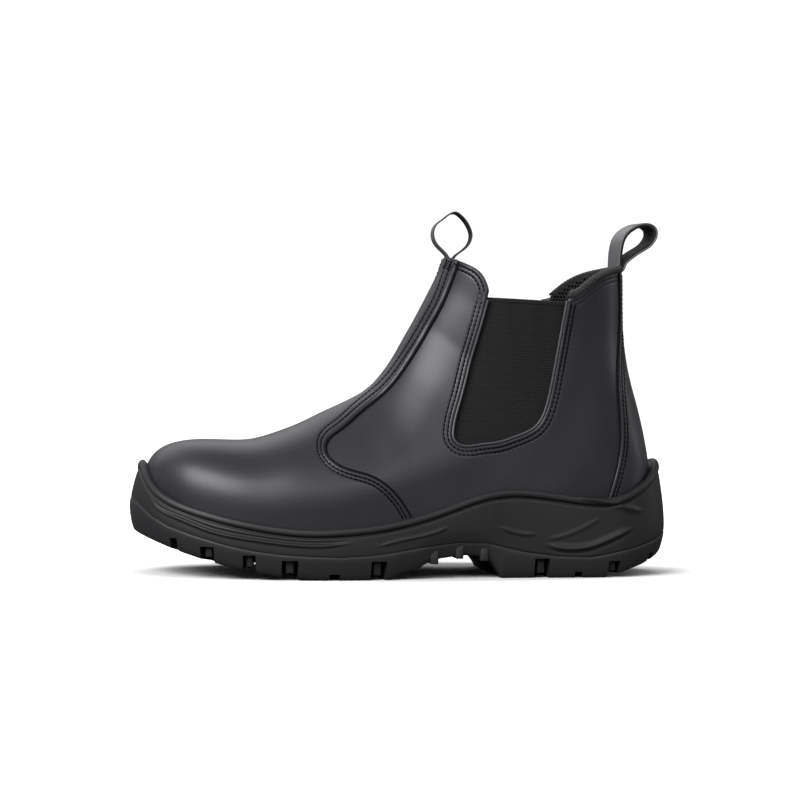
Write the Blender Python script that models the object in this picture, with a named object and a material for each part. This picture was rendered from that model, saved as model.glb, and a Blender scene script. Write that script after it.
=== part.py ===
"""Side gore work boot for the left foot, as an assembly of separate solids.

The boot stands on z = 0 with its toe towards -X and its outer side towards -Y. Lengths in the
tables are millimetres, written for the driving sizes below, and every table scales with them.
"""

from collections import namedtuple

import bmesh
import bpy
import numpy as np
from mathutils import Matrix, Vector

MM = 0.001

# Driving sizes of the boot, in millimetres.
SOLE_LENGTH = 305.0
SOLE_WIDTH = 111.0
COLLAR_HEIGHT = 179.0

# The sizes that the tables are written for, and what they scale by.
PATTERN_LENGTH = 305.0
PATTERN_WIDTH = 111.0
PATTERN_HEIGHT = 179.0
SCALE = Vector(
    (
        MM * SOLE_LENGTH / PATTERN_LENGTH,
        MM * SOLE_WIDTH / PATTERN_WIDTH,
        MM * COLLAR_HEIGHT / PATTERN_HEIGHT,
    )
)

# Thicknesses and clearances.
LEATHER = 2.2
OVERLAY = 1.2
GORE_THICKNESS = 1.4
GAP = 0.3
INSOLE_THICKNESS = 4.3
INSOLE_CLEARANCE = 0.2
STRAP_THICKNESS = 1.4
STRAP_WIDTH = 20.0
BINDING_RADIUS = 1.7
GORE_MARGIN = 7.0
LASTING_EDGE = 4.9
FEATHER_TOP = 37.0

# How far the last's nose stands in front of its first section.
TOE_POLE = (-0.9, 0.0, 0.0)

# How finely the lofts and outlines are cut. The first rows of the last stay as the table has
# them, because the toe needs them close together.
LAST_ROWS = 27
LAST_SIDE_POINTS = 18
TOE_ROWS = 5
SECTION_STEPS = 721
SOLE_STATIONS = 42
VAMP_POINTS = 40
STAY_POINTS = 16
GORE_POINTS = 32
COLLAR_POINTS = 10
BINDING_POINTS = 14

# Cutters in side view reach this far past the boot.
FRONT_REACH = -170.0
BACK_REACH = 170.0
LOW_REACH = -20.0
HIGH_REACH = 240.0
SIDE_REACH = 90.0

# No elastic lies nearer to the middle plane than this.
GORE_SPLIT = 9.0
NOTCH_TOP = 165.0

# Sections of the last. Each lies in a plane across the boot, through a point on the front ridge
# and a far point on the sole or up the back seam. lateral and medial are the widest points,
# widest is their share of the way from ridge to far point, and round_front and round_far are
# the powers of the superellipse on each side of them.
Section = namedtuple(
    "Section",
    "front_x front_z far_x far_z ridge_y lateral medial far_y widest round_front round_far",
)
LAST = (
    Section(-144.6, 52.0, -144.6, 42.0, 6.0, 0.4, 11.6, 6.0, 0.60, 2.2, 2.6),
    Section(-143.6, 57.0, -143.6, 37.6, 6.0, -6.0, 18.0, 6.0, 0.62, 2.2, 3.2),
    Section(-141.2, 62.4, -141.0, 34.6, 6.0, -14.0, 25.4, 5.5, 0.64, 2.3, 4.2),
    Section(-136.6, 67.4, -136.0, 31.8, 5.5, -21.6, 31.4, 5.0, 0.66, 2.4, 5.2),
    Section(-128.6, 71.1, -127.6, 28.8, 5.0, -30.6, 37.4, 4.0, 0.68, 2.45, 6.2),
    Section(-117.0, 73.1, -115.6, 25.6, 4.5, -38.6, 42.0, 3.0, 0.69, 2.45, 7.0),
    Section(-102.0, 73.2, -99.6, 22.0, 4.0, -45.0, 45.8, 2.0, 0.70, 2.4, 7.5),
    Section(-87.0, 73.6, -81.5, 19.4, 3.5, -49.0, 47.8, 1.0, 0.70, 2.3, 8.0),
    Section(-72.5, 77.6, -61.5, 17.8, 3.2, -51.4, 48.8, 0.0, 0.69, 2.2, 8.0),
    Section(-58.0, 83.0, -40.0, 17.8, 3.0, -51.6, 47.4, -1.0, 0.68, 2.05, 8.0),
    Section(-43.5, 90.0, -17.0, 20.0, 2.8, -50.0, 44.6, -1.5, 0.66, 1.95, 8.0),
    Section(-30.2, 96.6, 9.0, 24.4, 2.5, -47.0, 41.2, -1.5, 0.64, 1.9, 7.5),
    Section(-19.0, 103.8, 36.0, 28.4, 2.2, -43.6, 38.4, -1.0, 0.61, 1.9, 7.0),
    Section(-10.6, 113.0, 64.0, 30.4, 1.8, -40.8, 36.6, -0.5, 0.58, 1.95, 6.5),
    Section(-4.4, 122.2, 91.0, 31.0, 1.5, -38.6, 35.8, 0.0, 0.56, 2.0, 6.0),
    Section(0.4, 130.8, 114.0, 31.0, 1.2, -37.2, 35.4, 0.0, 0.54, 2.05, 5.4),
    Section(3.6, 136.4, 130.0, 32.0, 1.1, -36.6, 35.2, 0.0, 0.53, 2.1, 4.4),
    Section(6.4, 141.4, 138.4, 36.6, 0.9, -36.2, 35.0, 0.0, 0.53, 2.1, 3.6),
    Section(9.0, 146.2, 141.4, 46.6, 0.8, -35.9, 34.9, 0.0, 0.52, 2.15, 3.0),
    Section(11.8, 151.6, 141.6, 60.0, 0.6, -35.6, 34.7, 0.0, 0.51, 2.2, 2.7),
    Section(14.8, 157.6, 138.8, 77.0, 0.4, -35.4, 34.6, 0.0, 0.50, 2.2, 2.5),
    Section(17.6, 163.4, 134.6, 95.0, 0.3, -35.2, 34.5, 0.0, 0.50, 2.2, 2.4),
    Section(20.2, 169.0, 129.4, 113.0, 0.2, -35.0, 34.4, 0.0, 0.50, 2.25, 2.35),
    Section(22.4, 174.6, 126.4, 130.5, 0.1, -34.9, 34.4, 0.0, 0.50, 2.3, 2.3),
    Section(24.2, 180.4, 125.3, 147.5, 0.0, -34.9, 34.5, 0.0, 0.50, 2.3, 2.3),
    Section(25.9, 186.4, 124.9, 164.5, 0.0, -35.1, 34.7, 0.0, 0.50, 2.3, 2.3),
    Section(27.6, 192.8, 124.7, 181.0, 0.0, -35.4, 35.0, 0.0, 0.50, 2.3, 2.3),
    Section(29.3, 199.2, 124.6, 197.0, 0.0, -35.8, 35.4, 0.0, 0.50, 2.3, 2.3),
)

# Side view outlines of the patterns, x and z from the toe round to the heel.
Point = namedtuple("Point", "x z")
VAMP_EDGE = (
    Point(29.5, 190.0),
    Point(27.2, 178.0),
    Point(22.3, 165.4),
    Point(17.4, 154.6),
    Point(10.3, 140.3),
    Point(0.1, 120.5),
    Point(-12.8, 102.4),
    Point(-30.4, 89.5),
    Point(-45.3, 80.1),
    Point(-52.9, 73.2),
    Point(-53.4, 68.2),
    Point(-48.0, 61.7),
    Point(-26.1, 54.8),
    Point(-9.4, 41.2),
    Point(-2.0, 28.0),
    Point(2.0, 10.0),
)
BACK_STAY_EDGE = (
    Point(119.0, 190.0),
    Point(120.3, 172.0),
    Point(121.2, 139.0),
    Point(118.8, 116.4),
    Point(119.0, 94.0),
    Point(119.4, 77.0),
    Point(114.9, 54.6),
    Point(110.0, 40.0),
    Point(104.0, 26.0),
)
GORE_NOTCH = (
    Point(44.6, 170.0),
    Point(42.0, 156.3),
    Point(37.3, 137.9),
    Point(31.7, 118.3),
    Point(26.2, 98.8),
    Point(21.5, 82.2),
    Point(21.9, 76.7),
    Point(25.8, 73.4),
    Point(31.4, 72.9),
    Point(39.9, 74.1),
    Point(48.4, 75.2),
    Point(57.0, 78.0),
    Point(65.6, 81.4),
    Point(71.4, 85.9),
    Point(74.3, 91.0),
    Point(78.2, 105.0),
    Point(82.8, 130.2),
    Point(87.4, 155.5),
    Point(90.0, 170.0),
)
GORE_TOP = (Point(38.0, 156.8), Point(92.0, 154.0))
COLLAR = (
    Point(14.0, 180.0),
    Point(21.0, 179.0),
    Point(26.4, 176.2),
    Point(33.4, 171.2),
    Point(38.4, 167.2),
    Point(41.6, 161.6),
    Point(43.2, 155.0),
    Point(43.4, 150.0),
    Point(84.0, 155.8),
    Point(87.6, 156.4),
    Point(93.2, 158.0),
    Point(97.6, 161.2),
    Point(102.6, 165.0),
    Point(109.0, 168.4),
    Point(117.0, 171.0),
    Point(134.0, 173.0),
)
FRONT_COLLAR_END = 7
BACK_COLLAR_START = 9

# Outline of the sole at its widest level, from heel to toe. lip is the height of the side wall's
# top edge, and lean is how far that edge stands in from the outline.
SoleRow = namedtuple("SoleRow", "x lateral medial lip lean")
SOLE = (
    SoleRow(153.4, 0.0, 0.0, 65.4, 5.0),
    SoleRow(151.6, -10.5, 10.5, 64.8, 5.0),
    SoleRow(147.6, -20.0, 20.0, 61.6, 4.4),
    SoleRow(140.0, -29.0, 28.6, 55.6, 3.4),
    SoleRow(131.0, -35.0, 34.2, 50.2, 2.6),
    SoleRow(122.0, -38.6, 37.6, 46.2, 2.0),
    SoleRow(115.0, -39.8, 38.7, 44.2, 1.8),
    SoleRow(100.0, -41.2, 40.0, 44.5, 1.6),
    SoleRow(80.0, -41.8, 39.8, 47.4, 1.6),
    SoleRow(62.0, -42.4, 39.4, 49.6, 1.6),
    SoleRow(50.0, -43.4, 39.4, 49.4, 1.6),
    SoleRow(36.0, -45.2, 40.0, 46.6, 1.6),
    SoleRow(20.0, -47.6, 41.8, 40.6, 1.6),
    SoleRow(0.0, -51.2, 45.4, 34.4, 1.6),
    SoleRow(-20.0, -54.4, 49.4, 30.3, 1.6),
    SoleRow(-40.0, -56.4, 52.4, 28.4, 1.6),
    SoleRow(-60.0, -56.6, 54.0, 27.6, 1.6),
    SoleRow(-80.0, -54.8, 54.0, 29.4, 1.6),
    SoleRow(-100.0, -51.4, 52.4, 33.0, 1.7),
    SoleRow(-115.0, -46.2, 49.2, 36.6, 1.8),
    SoleRow(-130.0, -37.6, 43.6, 41.0, 2.2),
    SoleRow(-140.0, -28.8, 37.2, 45.6, 3.0),
    SoleRow(-148.0, -16.6, 28.0, 52.4, 4.4),
    SoleRow(-152.0, -3.4, 16.2, 60.4, 5.8),
    SoleRow(-153.2, 6.4, 6.4, 63.4, 6.2),
)

# Tread: where the ground line leaves the floor at the toe and how it curves there, and its line
# through the arch and up the back of the heel.
TOE_BREAK = -42.0
TOE_SPRING_RADIUS = 270.0
GROUND = (
    Point(-14.0, 0.0),
    Point(-6.5, 3.6),
    Point(0.5, 5.0),
    Point(6.0, 8.4),
    Point(14.0, 11.2),
    Point(27.0, 13.0),
    Point(36.0, 12.6),
    Point(43.0, 10.2),
    Point(48.6, 3.4),
    Point(50.4, 0.0),
    Point(110.0, 0.0),
    Point(119.0, 2.3),
    Point(136.0, 7.2),
    Point(146.0, 11.0),
    Point(153.4, 15.0),
)

# Parting line between the two layers of the sole.
PARTING = (
    Point(-153.4, 42.4),
    Point(-149.6, 38.9),
    Point(-144.6, 33.9),
    Point(-136.0, 28.6),
    Point(-122.6, 24.0),
    Point(-105.0, 19.1),
    Point(-90.5, 16.2),
    Point(-76.0, 14.4),
    Point(-60.0, 13.4),
    Point(-42.0, 12.9),
    Point(-27.0, 13.7),
    Point(-15.8, 14.9),
    Point(4.0, 18.0),
    Point(24.0, 20.2),
    Point(42.0, 19.8),
    Point(62.0, 15.0),
    Point(82.0, 12.4),
    Point(101.6, 11.8),
    Point(115.0, 14.2),
    Point(128.4, 17.0),
    Point(142.5, 20.8),
    Point(153.4, 25.4),
)

# Gaps between the edge lugs: centre, width along the edge, height and depth into the sole.
LugGap = namedtuple("LugGap", "x width height depth")
LUG_GAPS = (
    LugGap(-133.0, 5.0, 6.5, 14.0),
    LugGap(-115.4, 8.0, 8.0, 19.0),
    LugGap(-92.8, 7.0, 9.0, 19.0),
    LugGap(-70.7, 9.0, 9.5, 19.0),
    LugGap(-45.9, 6.0, 3.4, 19.0),
    LugGap(-21.2, 9.0, 10.5, 19.0),
    LugGap(73.1, 8.6, 11.0, 19.0),
    LugGap(94.5, 4.4, 3.4, 19.0),
    LugGap(115.4, 7.0, 8.0, 19.0),
    LugGap(140.0, 4.0, 4.5, 9.0),
)
GAP_BLOCK_SHARE = 0.5
GAP_BLOCK_HEIGHT = 0.86
GAP_BLOCK_SETBACK = 1.4
GAP_BLOCK_DEPTH = 12.0
GAP_BLOCK_MIN_WIDTH = 7.0
GAP_OUTSIDE = 6.0
GAP_BELOW = 4.0
LUG_OVERLAP = 2.0

# Recesses under the middle of the tread, and the lugs that stand in them.
Recess = namedtuple("Recess", "first last lugs")
RECESSES = (Recess(-130.0, -16.0, 5), Recess(64.0, 122.0, 2))
RECESS_INSET = 17.0
RECESS_DEPTH = 4.5
RECESS_BELOW = -6.0
RECESS_POINTS = 32
RECESS_ROUNDING = 0.6
CENTRE_LUG_LENGTH = 11.0
CENTRE_LUG_SHARE = 0.50

# Bars across the arch.
ARCH_BARS = (10.6, 25.2, 39.6)
ARCH_BAR_WIDTH = 4.4
ARCH_BAR_DROP = 1.6
ARCH_BAR_HEIGHT = 7.5
ARCH_BAR_INSET = 1.2

# Side wall of the sole: height below the lip, and how far the wall stands out there.
WallRow = namedtuple("WallRow", "below out")
WALL = (
    WallRow(0.0, -0.9),
    WallRow(0.8, 0.1),
    WallRow(2.2, 0.2),
    WallRow(3.2, -0.9),
    WallRow(8.0, -0.5),
    WallRow(9.2, 0.4),
)
WALL_MIN_STEP = 0.25
WALL_MIN_HEIGHT = 0.8
LEAN_POWER = 1.6
FOOT_TUCK = 2.6
FOOT_TUCK_HEIGHT = 14.0
FOOT_TUCK_POWER = 1.8
OUTSOLE_OUT = -0.2

# Pull loops, in side view: the middle of the strap, from its tail up, round and down again.
FRONT_LOOP = (
    Point(26.2, 181.6),
    Point(22.0, 184.4),
    Point(18.4, 188.4),
    Point(16.8, 193.4),
    Point(18.2, 198.8),
    Point(22.2, 203.0),
    Point(26.8, 204.9),
    Point(31.4, 203.2),
    Point(35.4, 199.2),
    Point(37.4, 194.0),
    Point(36.4, 188.8),
    Point(33.4, 184.6),
    Point(29.6, 181.8),
)
BACK_LOOP = (
    Point(120.6, 180.4),
    Point(120.2, 185.0),
    Point(122.0, 190.4),
    Point(126.2, 195.0),
    Point(132.2, 198.4),
    Point(138.4, 199.8),
    Point(143.2, 198.2),
    Point(144.9, 193.8),
    Point(143.0, 188.6),
    Point(138.8, 184.6),
    Point(133.0, 181.6),
    Point(127.0, 179.6),
)
Tail = namedtuple("Tail", "x low high")
FRONT_LOOP_TAIL = Tail(26.0, 164.0, 183.2)
BACK_LOOP_TAIL = Tail(122.0, 160.0, 182.0)
TAIL_REACH = 12.0
TAIL_CLEARANCE = 1.0
TAIL_INSET = 0.5
FRONT_LOOP_TWIST = -0.12
BACK_LOOP_TWIST = 0.21
STRAP_POINTS = 37

# EXACT turns the leather's thin shell inside out, so its steps and the cavity that it sits in
# are solved with MANIFOLD.
SHELL_SOLVER = "MANIFOLD"

LEATHER_COLOUR = (0.035, 0.036, 0.040, 1.0)
RUBBER_COLOUR = (0.020, 0.020, 0.021, 1.0)
ELASTIC_COLOUR = (0.012, 0.012, 0.013, 1.0)
TEXTILE_COLOUR = (0.025, 0.025, 0.026, 1.0)


def clear_scene():
    """Removes every object and gives the collections for parts and cutters."""
    for obj in list(bpy.data.objects):
        bpy.data.objects.remove(obj)
    made = []
    for name in ("side_gore_work_boot", "cutters"):
        made.append(bpy.data.collections.new(name))
        bpy.context.scene.collection.children.link(made[-1])
    made[1].hide_render = True
    return made


def material(name, colour, roughness):
    made = bpy.data.materials.new(name)
    made.use_nodes = True
    shader = made.node_tree.nodes["Principled BSDF"]
    shader.inputs["Base Color"].default_value = colour
    shader.inputs["Roughness"].default_value = roughness
    shader.inputs["Metallic"].default_value = 0.0
    return made


def spline(knots, values, where):
    """Natural cubic spline through values at knots, read at where."""
    knots, values, where = (np.asarray(v, float) for v in (knots, values, where))
    step = np.diff(knots)
    slope = np.diff(values) / step
    count = len(knots)
    system = np.eye(count)
    right = np.zeros(count)
    for i in range(1, count - 1):
        system[i, i - 1 : i + 2] = step[i - 1], 2 * (step[i - 1] + step[i]), step[i]
        right[i] = 6 * (slope[i] - slope[i - 1])
    bend = np.linalg.solve(system, right)
    i = np.clip(np.searchsorted(knots, where) - 1, 0, count - 2)
    t = where - knots[i]
    h = step[i]
    linear = slope[i] - h * (2 * bend[i] + bend[i + 1]) / 6
    return values[i] + t * (linear + t * (bend[i] / 2 + t * (bend[i + 1] - bend[i]) / (6 * h)))


def height_on(points, x):
    """Height at x of a line through side view points that run along x."""
    return np.interp(x, [p.x for p in points], [p.z for p in points])


def tread_height(x):
    """Height of the ground face of the tread at x: toe spring, arch and heel bevel."""
    toe = max(0.0, TOE_BREAK - x) ** 2 / (2 * TOE_SPRING_RADIUS)
    return toe + float(height_on(GROUND, x))


def last_sections(count):
    """The rows of the last, evenly spaced along it."""
    rows = np.array(LAST)
    front = np.hypot(*np.diff(rows[:, 0:2], axis=0).T)
    far = np.hypot(*np.diff(rows[:, 2:4], axis=0).T)
    along = np.concatenate([[0], np.cumsum((front + far) / 2)])
    even = np.linspace(along[TOE_ROWS], along[-1], count - TOE_ROWS)
    where = np.concatenate([along[:TOE_ROWS], even])
    columns = [spline(along, rows[:, c], where) for c in range(rows.shape[1])]
    return [Section(*row) for row in np.array(columns).T]


def half_section(section, side_y, points):
    """Points of one half of a section, evenly spaced from the ridge to the far point."""
    turn = np.linspace(0, np.pi, SECTION_STEPS)
    front = turn < np.pi / 2
    power = np.where(front, 2 / section.round_front, 2 / section.round_far)
    reach = np.abs(np.cos(turn)) ** power
    share = np.where(
        front,
        section.widest * (1 - reach),
        section.widest + (1 - section.widest) * reach,
    )
    centre = np.where(front, section.ridge_y, section.far_y)
    y = centre + (side_y - centre) * np.abs(np.sin(turn)) ** power
    x = section.front_x + (section.far_x - section.front_x) * share
    z = section.front_z + (section.far_z - section.front_z) * share
    curve = np.column_stack([x, y, z])
    length = np.concatenate([[0], np.cumsum(np.linalg.norm(np.diff(curve, axis=0), axis=1))])
    even = np.linspace(0, length[-1], points + 1)
    return np.column_stack([np.interp(even, length, curve[:, c]) for c in range(3)])


def last_grid():
    """Rings of points on the outside of the upper, ridge first, outer side before inner side."""
    rings = []
    for section in last_sections(LAST_ROWS):
        outer = half_section(section, section.lateral, LAST_SIDE_POINTS)
        inner = half_section(section, section.medial, LAST_SIDE_POINTS)
        rings.append(np.concatenate([outer, inner[-2:0:-1]]))
    return np.array(rings)


def object_from(name, points, faces, collection):
    """A mesh object in metres from points in millimetres, with its faces pointing out."""
    mesh = bpy.data.meshes.new(name)
    mesh.from_pydata([Vector(p) * SCALE for p in points], [], faces)
    shape = bmesh.new()
    shape.from_mesh(mesh)
    bmesh.ops.recalc_face_normals(shape, faces=shape.faces)
    shape.to_mesh(mesh)
    shape.free()
    obj = bpy.data.objects.new(name, mesh)
    collection.objects.link(obj)
    return obj


def hide_helper(obj):
    obj.hide_render = True
    obj.display_type = "WIRE"
    return obj


def ring_faces(rings, around):
    """Quads between rings of points, with an end face on the first and the last."""
    faces = [list(range(around))[::-1], [(rings - 1) * around + j for j in range(around)]]
    for i in range(rings - 1):
        for j in range(around):
            k = (j + 1) % around
            faces.append([i * around + j, i * around + k, (i + 1) * around + k, (i + 1) * around + j])
    return faces


class Boot:
    """Builds the solids. Forms of the last are kept, so that each offset is lofted once."""

    def __init__(self, parts, cutters):
        self.parts = parts
        self.cutters = cutters
        self.forms = {}
        self.grid = last_grid()
        self.leather = material("smooth_leather", LEATHER_COLOUR, 0.42)
        self.rubber = material("moulded_sole", RUBBER_COLOUR, 0.55)
        self.elastic = material("elastic_webbing", ELASTIC_COLOUR, 0.85)
        self.textile = material("textile", TEXTILE_COLOUR, 0.9)

    def form(self, offset, lower=0.0):
        """The last as a closed solid, moved out along its normals by offset and down by lower."""
        key = (offset, lower)
        if key not in self.forms:
            rings, around, _ = self.grid.shape
            name = f"last_form_{len(self.forms)}"
            points = list(self.grid.reshape(-1, 3))
            toe, top = len(points), len(points) + 1
            points.append(self.grid[0].mean(axis=0) + TOE_POLE)
            points.append(self.grid[-1].mean(axis=0))
            # Every form is split along the same diagonals, so that two forms stay parallel.
            faces = []
            for a, b, c, d in ring_faces(rings, around)[2:]:
                faces.extend(([a, b, c], [a, c, d]))
            for j in range(around):
                k = (j + 1) % around
                faces.append([toe, k, j])
                faces.append([top, toe - around + j, toe - around + k])
            made = object_from(name, points, faces, self.cutters)
            moved = [v.co + v.normal * offset * MM for v in made.data.vertices]
            for vertex, place in zip(made.data.vertices, moved):
                vertex.co = place - Vector((0, 0, lower * MM))
            self.forms[key] = hide_helper(made)
        return self.forms[key]

    def copy_of(self, obj, name, collection):
        made = bpy.data.objects.new(name, obj.data.copy())
        collection.objects.link(made)
        return made

    def prism(self, name, outline, low_y=-SIDE_REACH, high_y=SIDE_REACH):
        """A cutter: a side view outline pulled from low_y to high_y."""
        count = len(outline)
        points = [(p.x, y, p.z) for y in (low_y, high_y) for p in outline]
        return hide_helper(object_from(name, points, ring_faces(2, count), self.cutters))

    def combine(self, target, tool, operation, solver="EXACT"):
        step = target.modifiers.new(f"{operation.lower()}_{tool.name}", "BOOLEAN")
        step.operation = operation
        step.solver = solver
        step.object = tool
        return target

    def add_part(self, obj, finish):
        obj.data.materials.clear()
        obj.data.materials.append(finish)
        return obj


def smooth_outline(points, steps):
    """More points on a smooth line through a few."""
    along = np.concatenate(
        [[0], np.cumsum([np.hypot(b.x - a.x, b.z - a.z) for a, b in zip(points, points[1:])])]
    )
    where = np.linspace(0, along[-1], steps)
    x = spline(along, [p.x for p in points], where)
    z = spline(along, [p.z for p in points], where)
    return [Point(*pair) for pair in zip(x, z)]


def grown(line, distance):
    """A side view line moved sideways, to its right as it runs."""
    x = np.array([p.x for p in line])
    z = np.array([p.z for p in line])
    dx, dz = np.gradient(x), np.gradient(z)
    size = np.hypot(dx, dz)
    return [Point(*pair) for pair in zip(x + dz / size * distance, z - dx / size * distance)]


def vamp_outline(grow):
    """The vamp's pattern: everything in front of its rear edge."""
    edge = grown(smooth_outline(VAMP_EDGE, VAMP_POINTS), -grow)
    return [Point(FRONT_REACH, VAMP_EDGE[0].z), *edge, Point(FRONT_REACH, VAMP_EDGE[-1].z)]


def stay_outline(grow):
    """The back stay's pattern: everything behind its front edge."""
    edge = grown(smooth_outline(BACK_STAY_EDGE, STAY_POINTS), grow)
    return [*edge, Point(BACK_REACH, BACK_STAY_EDGE[-1].z), Point(BACK_REACH, BACK_STAY_EDGE[0].z)]


def gore_outline(grow, top):
    """The opening for the elastic, or the elastic itself where grow is a margin. top is the line
    where it ends."""
    edge = grown(smooth_outline(GORE_NOTCH, GORE_POINTS), grow)
    kept = [p for p in edge if p.z < height_on(top, p.x)]
    ends = [Point(p.x, float(height_on(top, p.x))) for p in (kept[0], kept[-1])]
    return [ends[0], *kept, ends[1]]


def boot_body(boot, clearance, name):
    """The leather's outer form as one solid: quarters with vamp and back stay laid on them."""
    body = hide_helper(boot.copy_of(boot.form(clearance), name, boot.cutters))
    raised = boot.form(OVERLAY + clearance)
    for piece, outline in (("vamp", vamp_outline(clearance)), ("stay", stay_outline(clearance))):
        slab = hide_helper(boot.copy_of(raised, f"{name}_{piece}", boot.cutters))
        pattern = boot.prism(f"{name}_{piece}_pattern", outline)
        boot.combine(slab, pattern, "INTERSECT", SHELL_SOLVER)
        boot.combine(body, slab, "UNION", SHELL_SOLVER)
    return body


def collar_cutter(boot):
    """Takes away what stands above the collar line."""
    front = smooth_outline(COLLAR[1:FRONT_COLLAR_END], COLLAR_POINTS)
    back = smooth_outline(COLLAR[BACK_COLLAR_START:], COLLAR_POINTS)
    between = COLLAR[FRONT_COLLAR_END:BACK_COLLAR_START]
    line = [Point(FRONT_REACH, COLLAR[0].z), COLLAR[0], *front, *between, *back]
    line.append(Point(BACK_REACH, COLLAR[-1].z))
    outline = [*line, Point(BACK_REACH, HIGH_REACH), Point(FRONT_REACH, HIGH_REACH)]
    return boot.prism("collar_line", outline)


def feather_line():
    """The lower face of the last in side view, from toe to heel."""
    rows = [s for s in LAST[2:] if s.far_z < FEATHER_TOP]
    return [Point(s.far_x, s.far_z) for s in rows]


def build_upper(boot):
    body = boot_body(boot, 0.0, "outer_form")
    upper = boot.copy_of(body, "upper", boot.parts)
    for step in body.modifiers:
        boot.combine(upper, step.object, step.operation, SHELL_SOLVER)
    notch_top = (Point(FRONT_REACH, NOTCH_TOP), Point(BACK_REACH, NOTCH_TOP))
    line = [Point(p.x, p.z + LASTING_EDGE) for p in feather_line()]
    under = [Point(FRONT_REACH, line[0].z), *line, Point(BACK_REACH, line[-1].z)]
    under.extend((Point(BACK_REACH, LOW_REACH), Point(FRONT_REACH, LOW_REACH)))
    cuts = (
        boot.form(-LEATHER),
        collar_cutter(boot),
        boot.prism("gore_notch", gore_outline(0.0, notch_top)),
        boot.prism("feather_cut", under),
    )
    for cut in cuts:
        boot.combine(upper, cut, "DIFFERENCE", SHELL_SOLVER)
    return boot.add_part(upper, boot.leather)


def lining_band(boot, name, collection, depth, thickness, outline, low_y, high_y):
    """A band that follows the inside of the leather: outline in side view, cut at two y."""
    band = boot.copy_of(boot.form(-depth), name, collection)
    pattern = boot.prism(f"{name}_pattern", outline, low_y, high_y)
    boot.combine(band, pattern, "INTERSECT")
    boot.combine(band, boot.form(-depth - thickness), "DIFFERENCE")
    return band


def build_gores(boot):
    outline = gore_outline(GORE_MARGIN, GORE_TOP)
    sides = (("gore_lateral", -SIDE_REACH, -GORE_SPLIT), ("gore_medial", GORE_SPLIT, SIDE_REACH))
    for name, low_y, high_y in sides:
        depth = LEATHER + GAP
        gore = lining_band(boot, name, boot.parts, depth, GORE_THICKNESS, outline, low_y, high_y)
        boot.add_part(gore, boot.elastic)


def build_insole(boot):
    """The insole fills the foot of the cavity, below the edge where the leather ends."""
    insole = boot.copy_of(boot.form(-INSOLE_CLEARANCE), "insole", boot.parts)
    top = [Point(p.x, p.z + INSOLE_THICKNESS) for p in feather_line()]
    above = [Point(FRONT_REACH, top[0].z), *top, Point(BACK_REACH, top[-1].z)]
    above.extend((Point(BACK_REACH, HIGH_REACH), Point(FRONT_REACH, HIGH_REACH)))
    boot.combine(insole, boot.prism("insole_top", above), "DIFFERENCE")
    return boot.add_part(insole, boot.textile)


def sole_stations():
    """Places round the sole's edge from heel to toe, as (x, lateral, medial, lip, lean)."""
    rows = np.array(SOLE)
    lateral = np.concatenate([[0], np.cumsum(np.hypot(*np.diff(rows[:, [0, 1]], axis=0).T))])
    where = np.linspace(0, lateral[-1], SOLE_STATIONS + 1)
    x, low, high = (spline(lateral, rows[:, c], where) for c in range(3))
    lip, lean = (np.interp(where, lateral, rows[:, c]) for c in (3, 4))
    return np.column_stack([x, low, high, lip, lean])


def edge_loop(stations, inset):
    """The sole's edge as a closed loop, heel first down the outer side, moved in by inset."""
    outer = stations[:, [0, 1]]
    inner = stations[:, [0, 2]]
    loop = np.concatenate([outer, inner[-2:0:-1]])
    ahead = np.roll(loop, -1, axis=0) - np.roll(loop, 1, axis=0)
    ahead /= np.linalg.norm(ahead, axis=1)[:, None]
    inward = np.column_stack([ahead[:, 1], -ahead[:, 0]])
    inward *= np.sign((inward * -loop).sum(axis=1).mean())
    depth = np.concatenate([inset, inset[-2:0:-1]])
    return loop + inward * depth[:, None]


def edge_slab(name, levels, collection):
    """A closed solid between levels of the sole's edge. Each level gives (inset, height) at
    every station, lowest first. The top and bottom run straight across the boot."""
    stations = sole_stations()
    count = 2 * SOLE_STATIONS
    points = []
    for inset, height in levels(stations):
        loop = edge_loop(stations, inset)
        tall = np.concatenate([height, height[-2:0:-1]])
        points.extend(np.column_stack([loop, tall]))
    rows = len(points) // count
    faces = ring_faces(rows, count)[2:]
    for base, flip in ((0, True), ((rows - 1) * count, False)):
        for i in range(SOLE_STATIONS):
            j = (count - i) % count
            corners = [base + i, base + i + 1, base + count - i - 1, base + j]
            corners = list(dict.fromkeys(corners))
            faces.append(corners[::-1] if flip else corners)
    return object_from(name, points, faces, collection)


def wall_inset(stations, height):
    """How far the wall stands in from the outline at each station, at these heights."""
    lip, lean = stations[:, 3], stations[:, 4]
    ground = np.array([tread_height(x) for x in stations[:, 0]])
    middle = ground + FOOT_TUCK_HEIGHT
    rise = np.clip((height - middle) / (lip - middle), 0, 1)
    tuck = np.clip((middle - height) / FOOT_TUCK_HEIGHT, 0, 1)
    return lean * rise**LEAN_POWER + FOOT_TUCK * tuck**FOOT_TUCK_POWER


def midsole_levels(stations):
    low = height_on(PARTING, stations[:, 0]) + GAP / 2
    lip = stations[:, 3]
    levels = [(wall_inset(stations, low), low)]
    for row in WALL[::-1]:
        least = low + WALL_MIN_HEIGHT + (WALL[-1].below - row.below) * WALL_MIN_STEP
        height = np.maximum(lip - row.below, least)
        levels.append((wall_inset(stations, height) - row.out, height))
    return levels


def outsole_levels(stations):
    ground = np.array([tread_height(x) for x in stations[:, 0]])
    top = height_on(PARTING, stations[:, 0]) - GAP / 2
    middle = (ground + top) / 2
    return [(wall_inset(stations, h) + OUTSOLE_OUT, h) for h in (ground, middle, top)]


def sole_edge(x, column):
    """The y of the sole's outline at x: column 1 is the outer side and 2 the inner side."""
    stations = sole_stations()
    order = np.argsort(stations[:, 0])
    return np.interp(x, stations[order, 0], stations[order, column])


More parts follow.
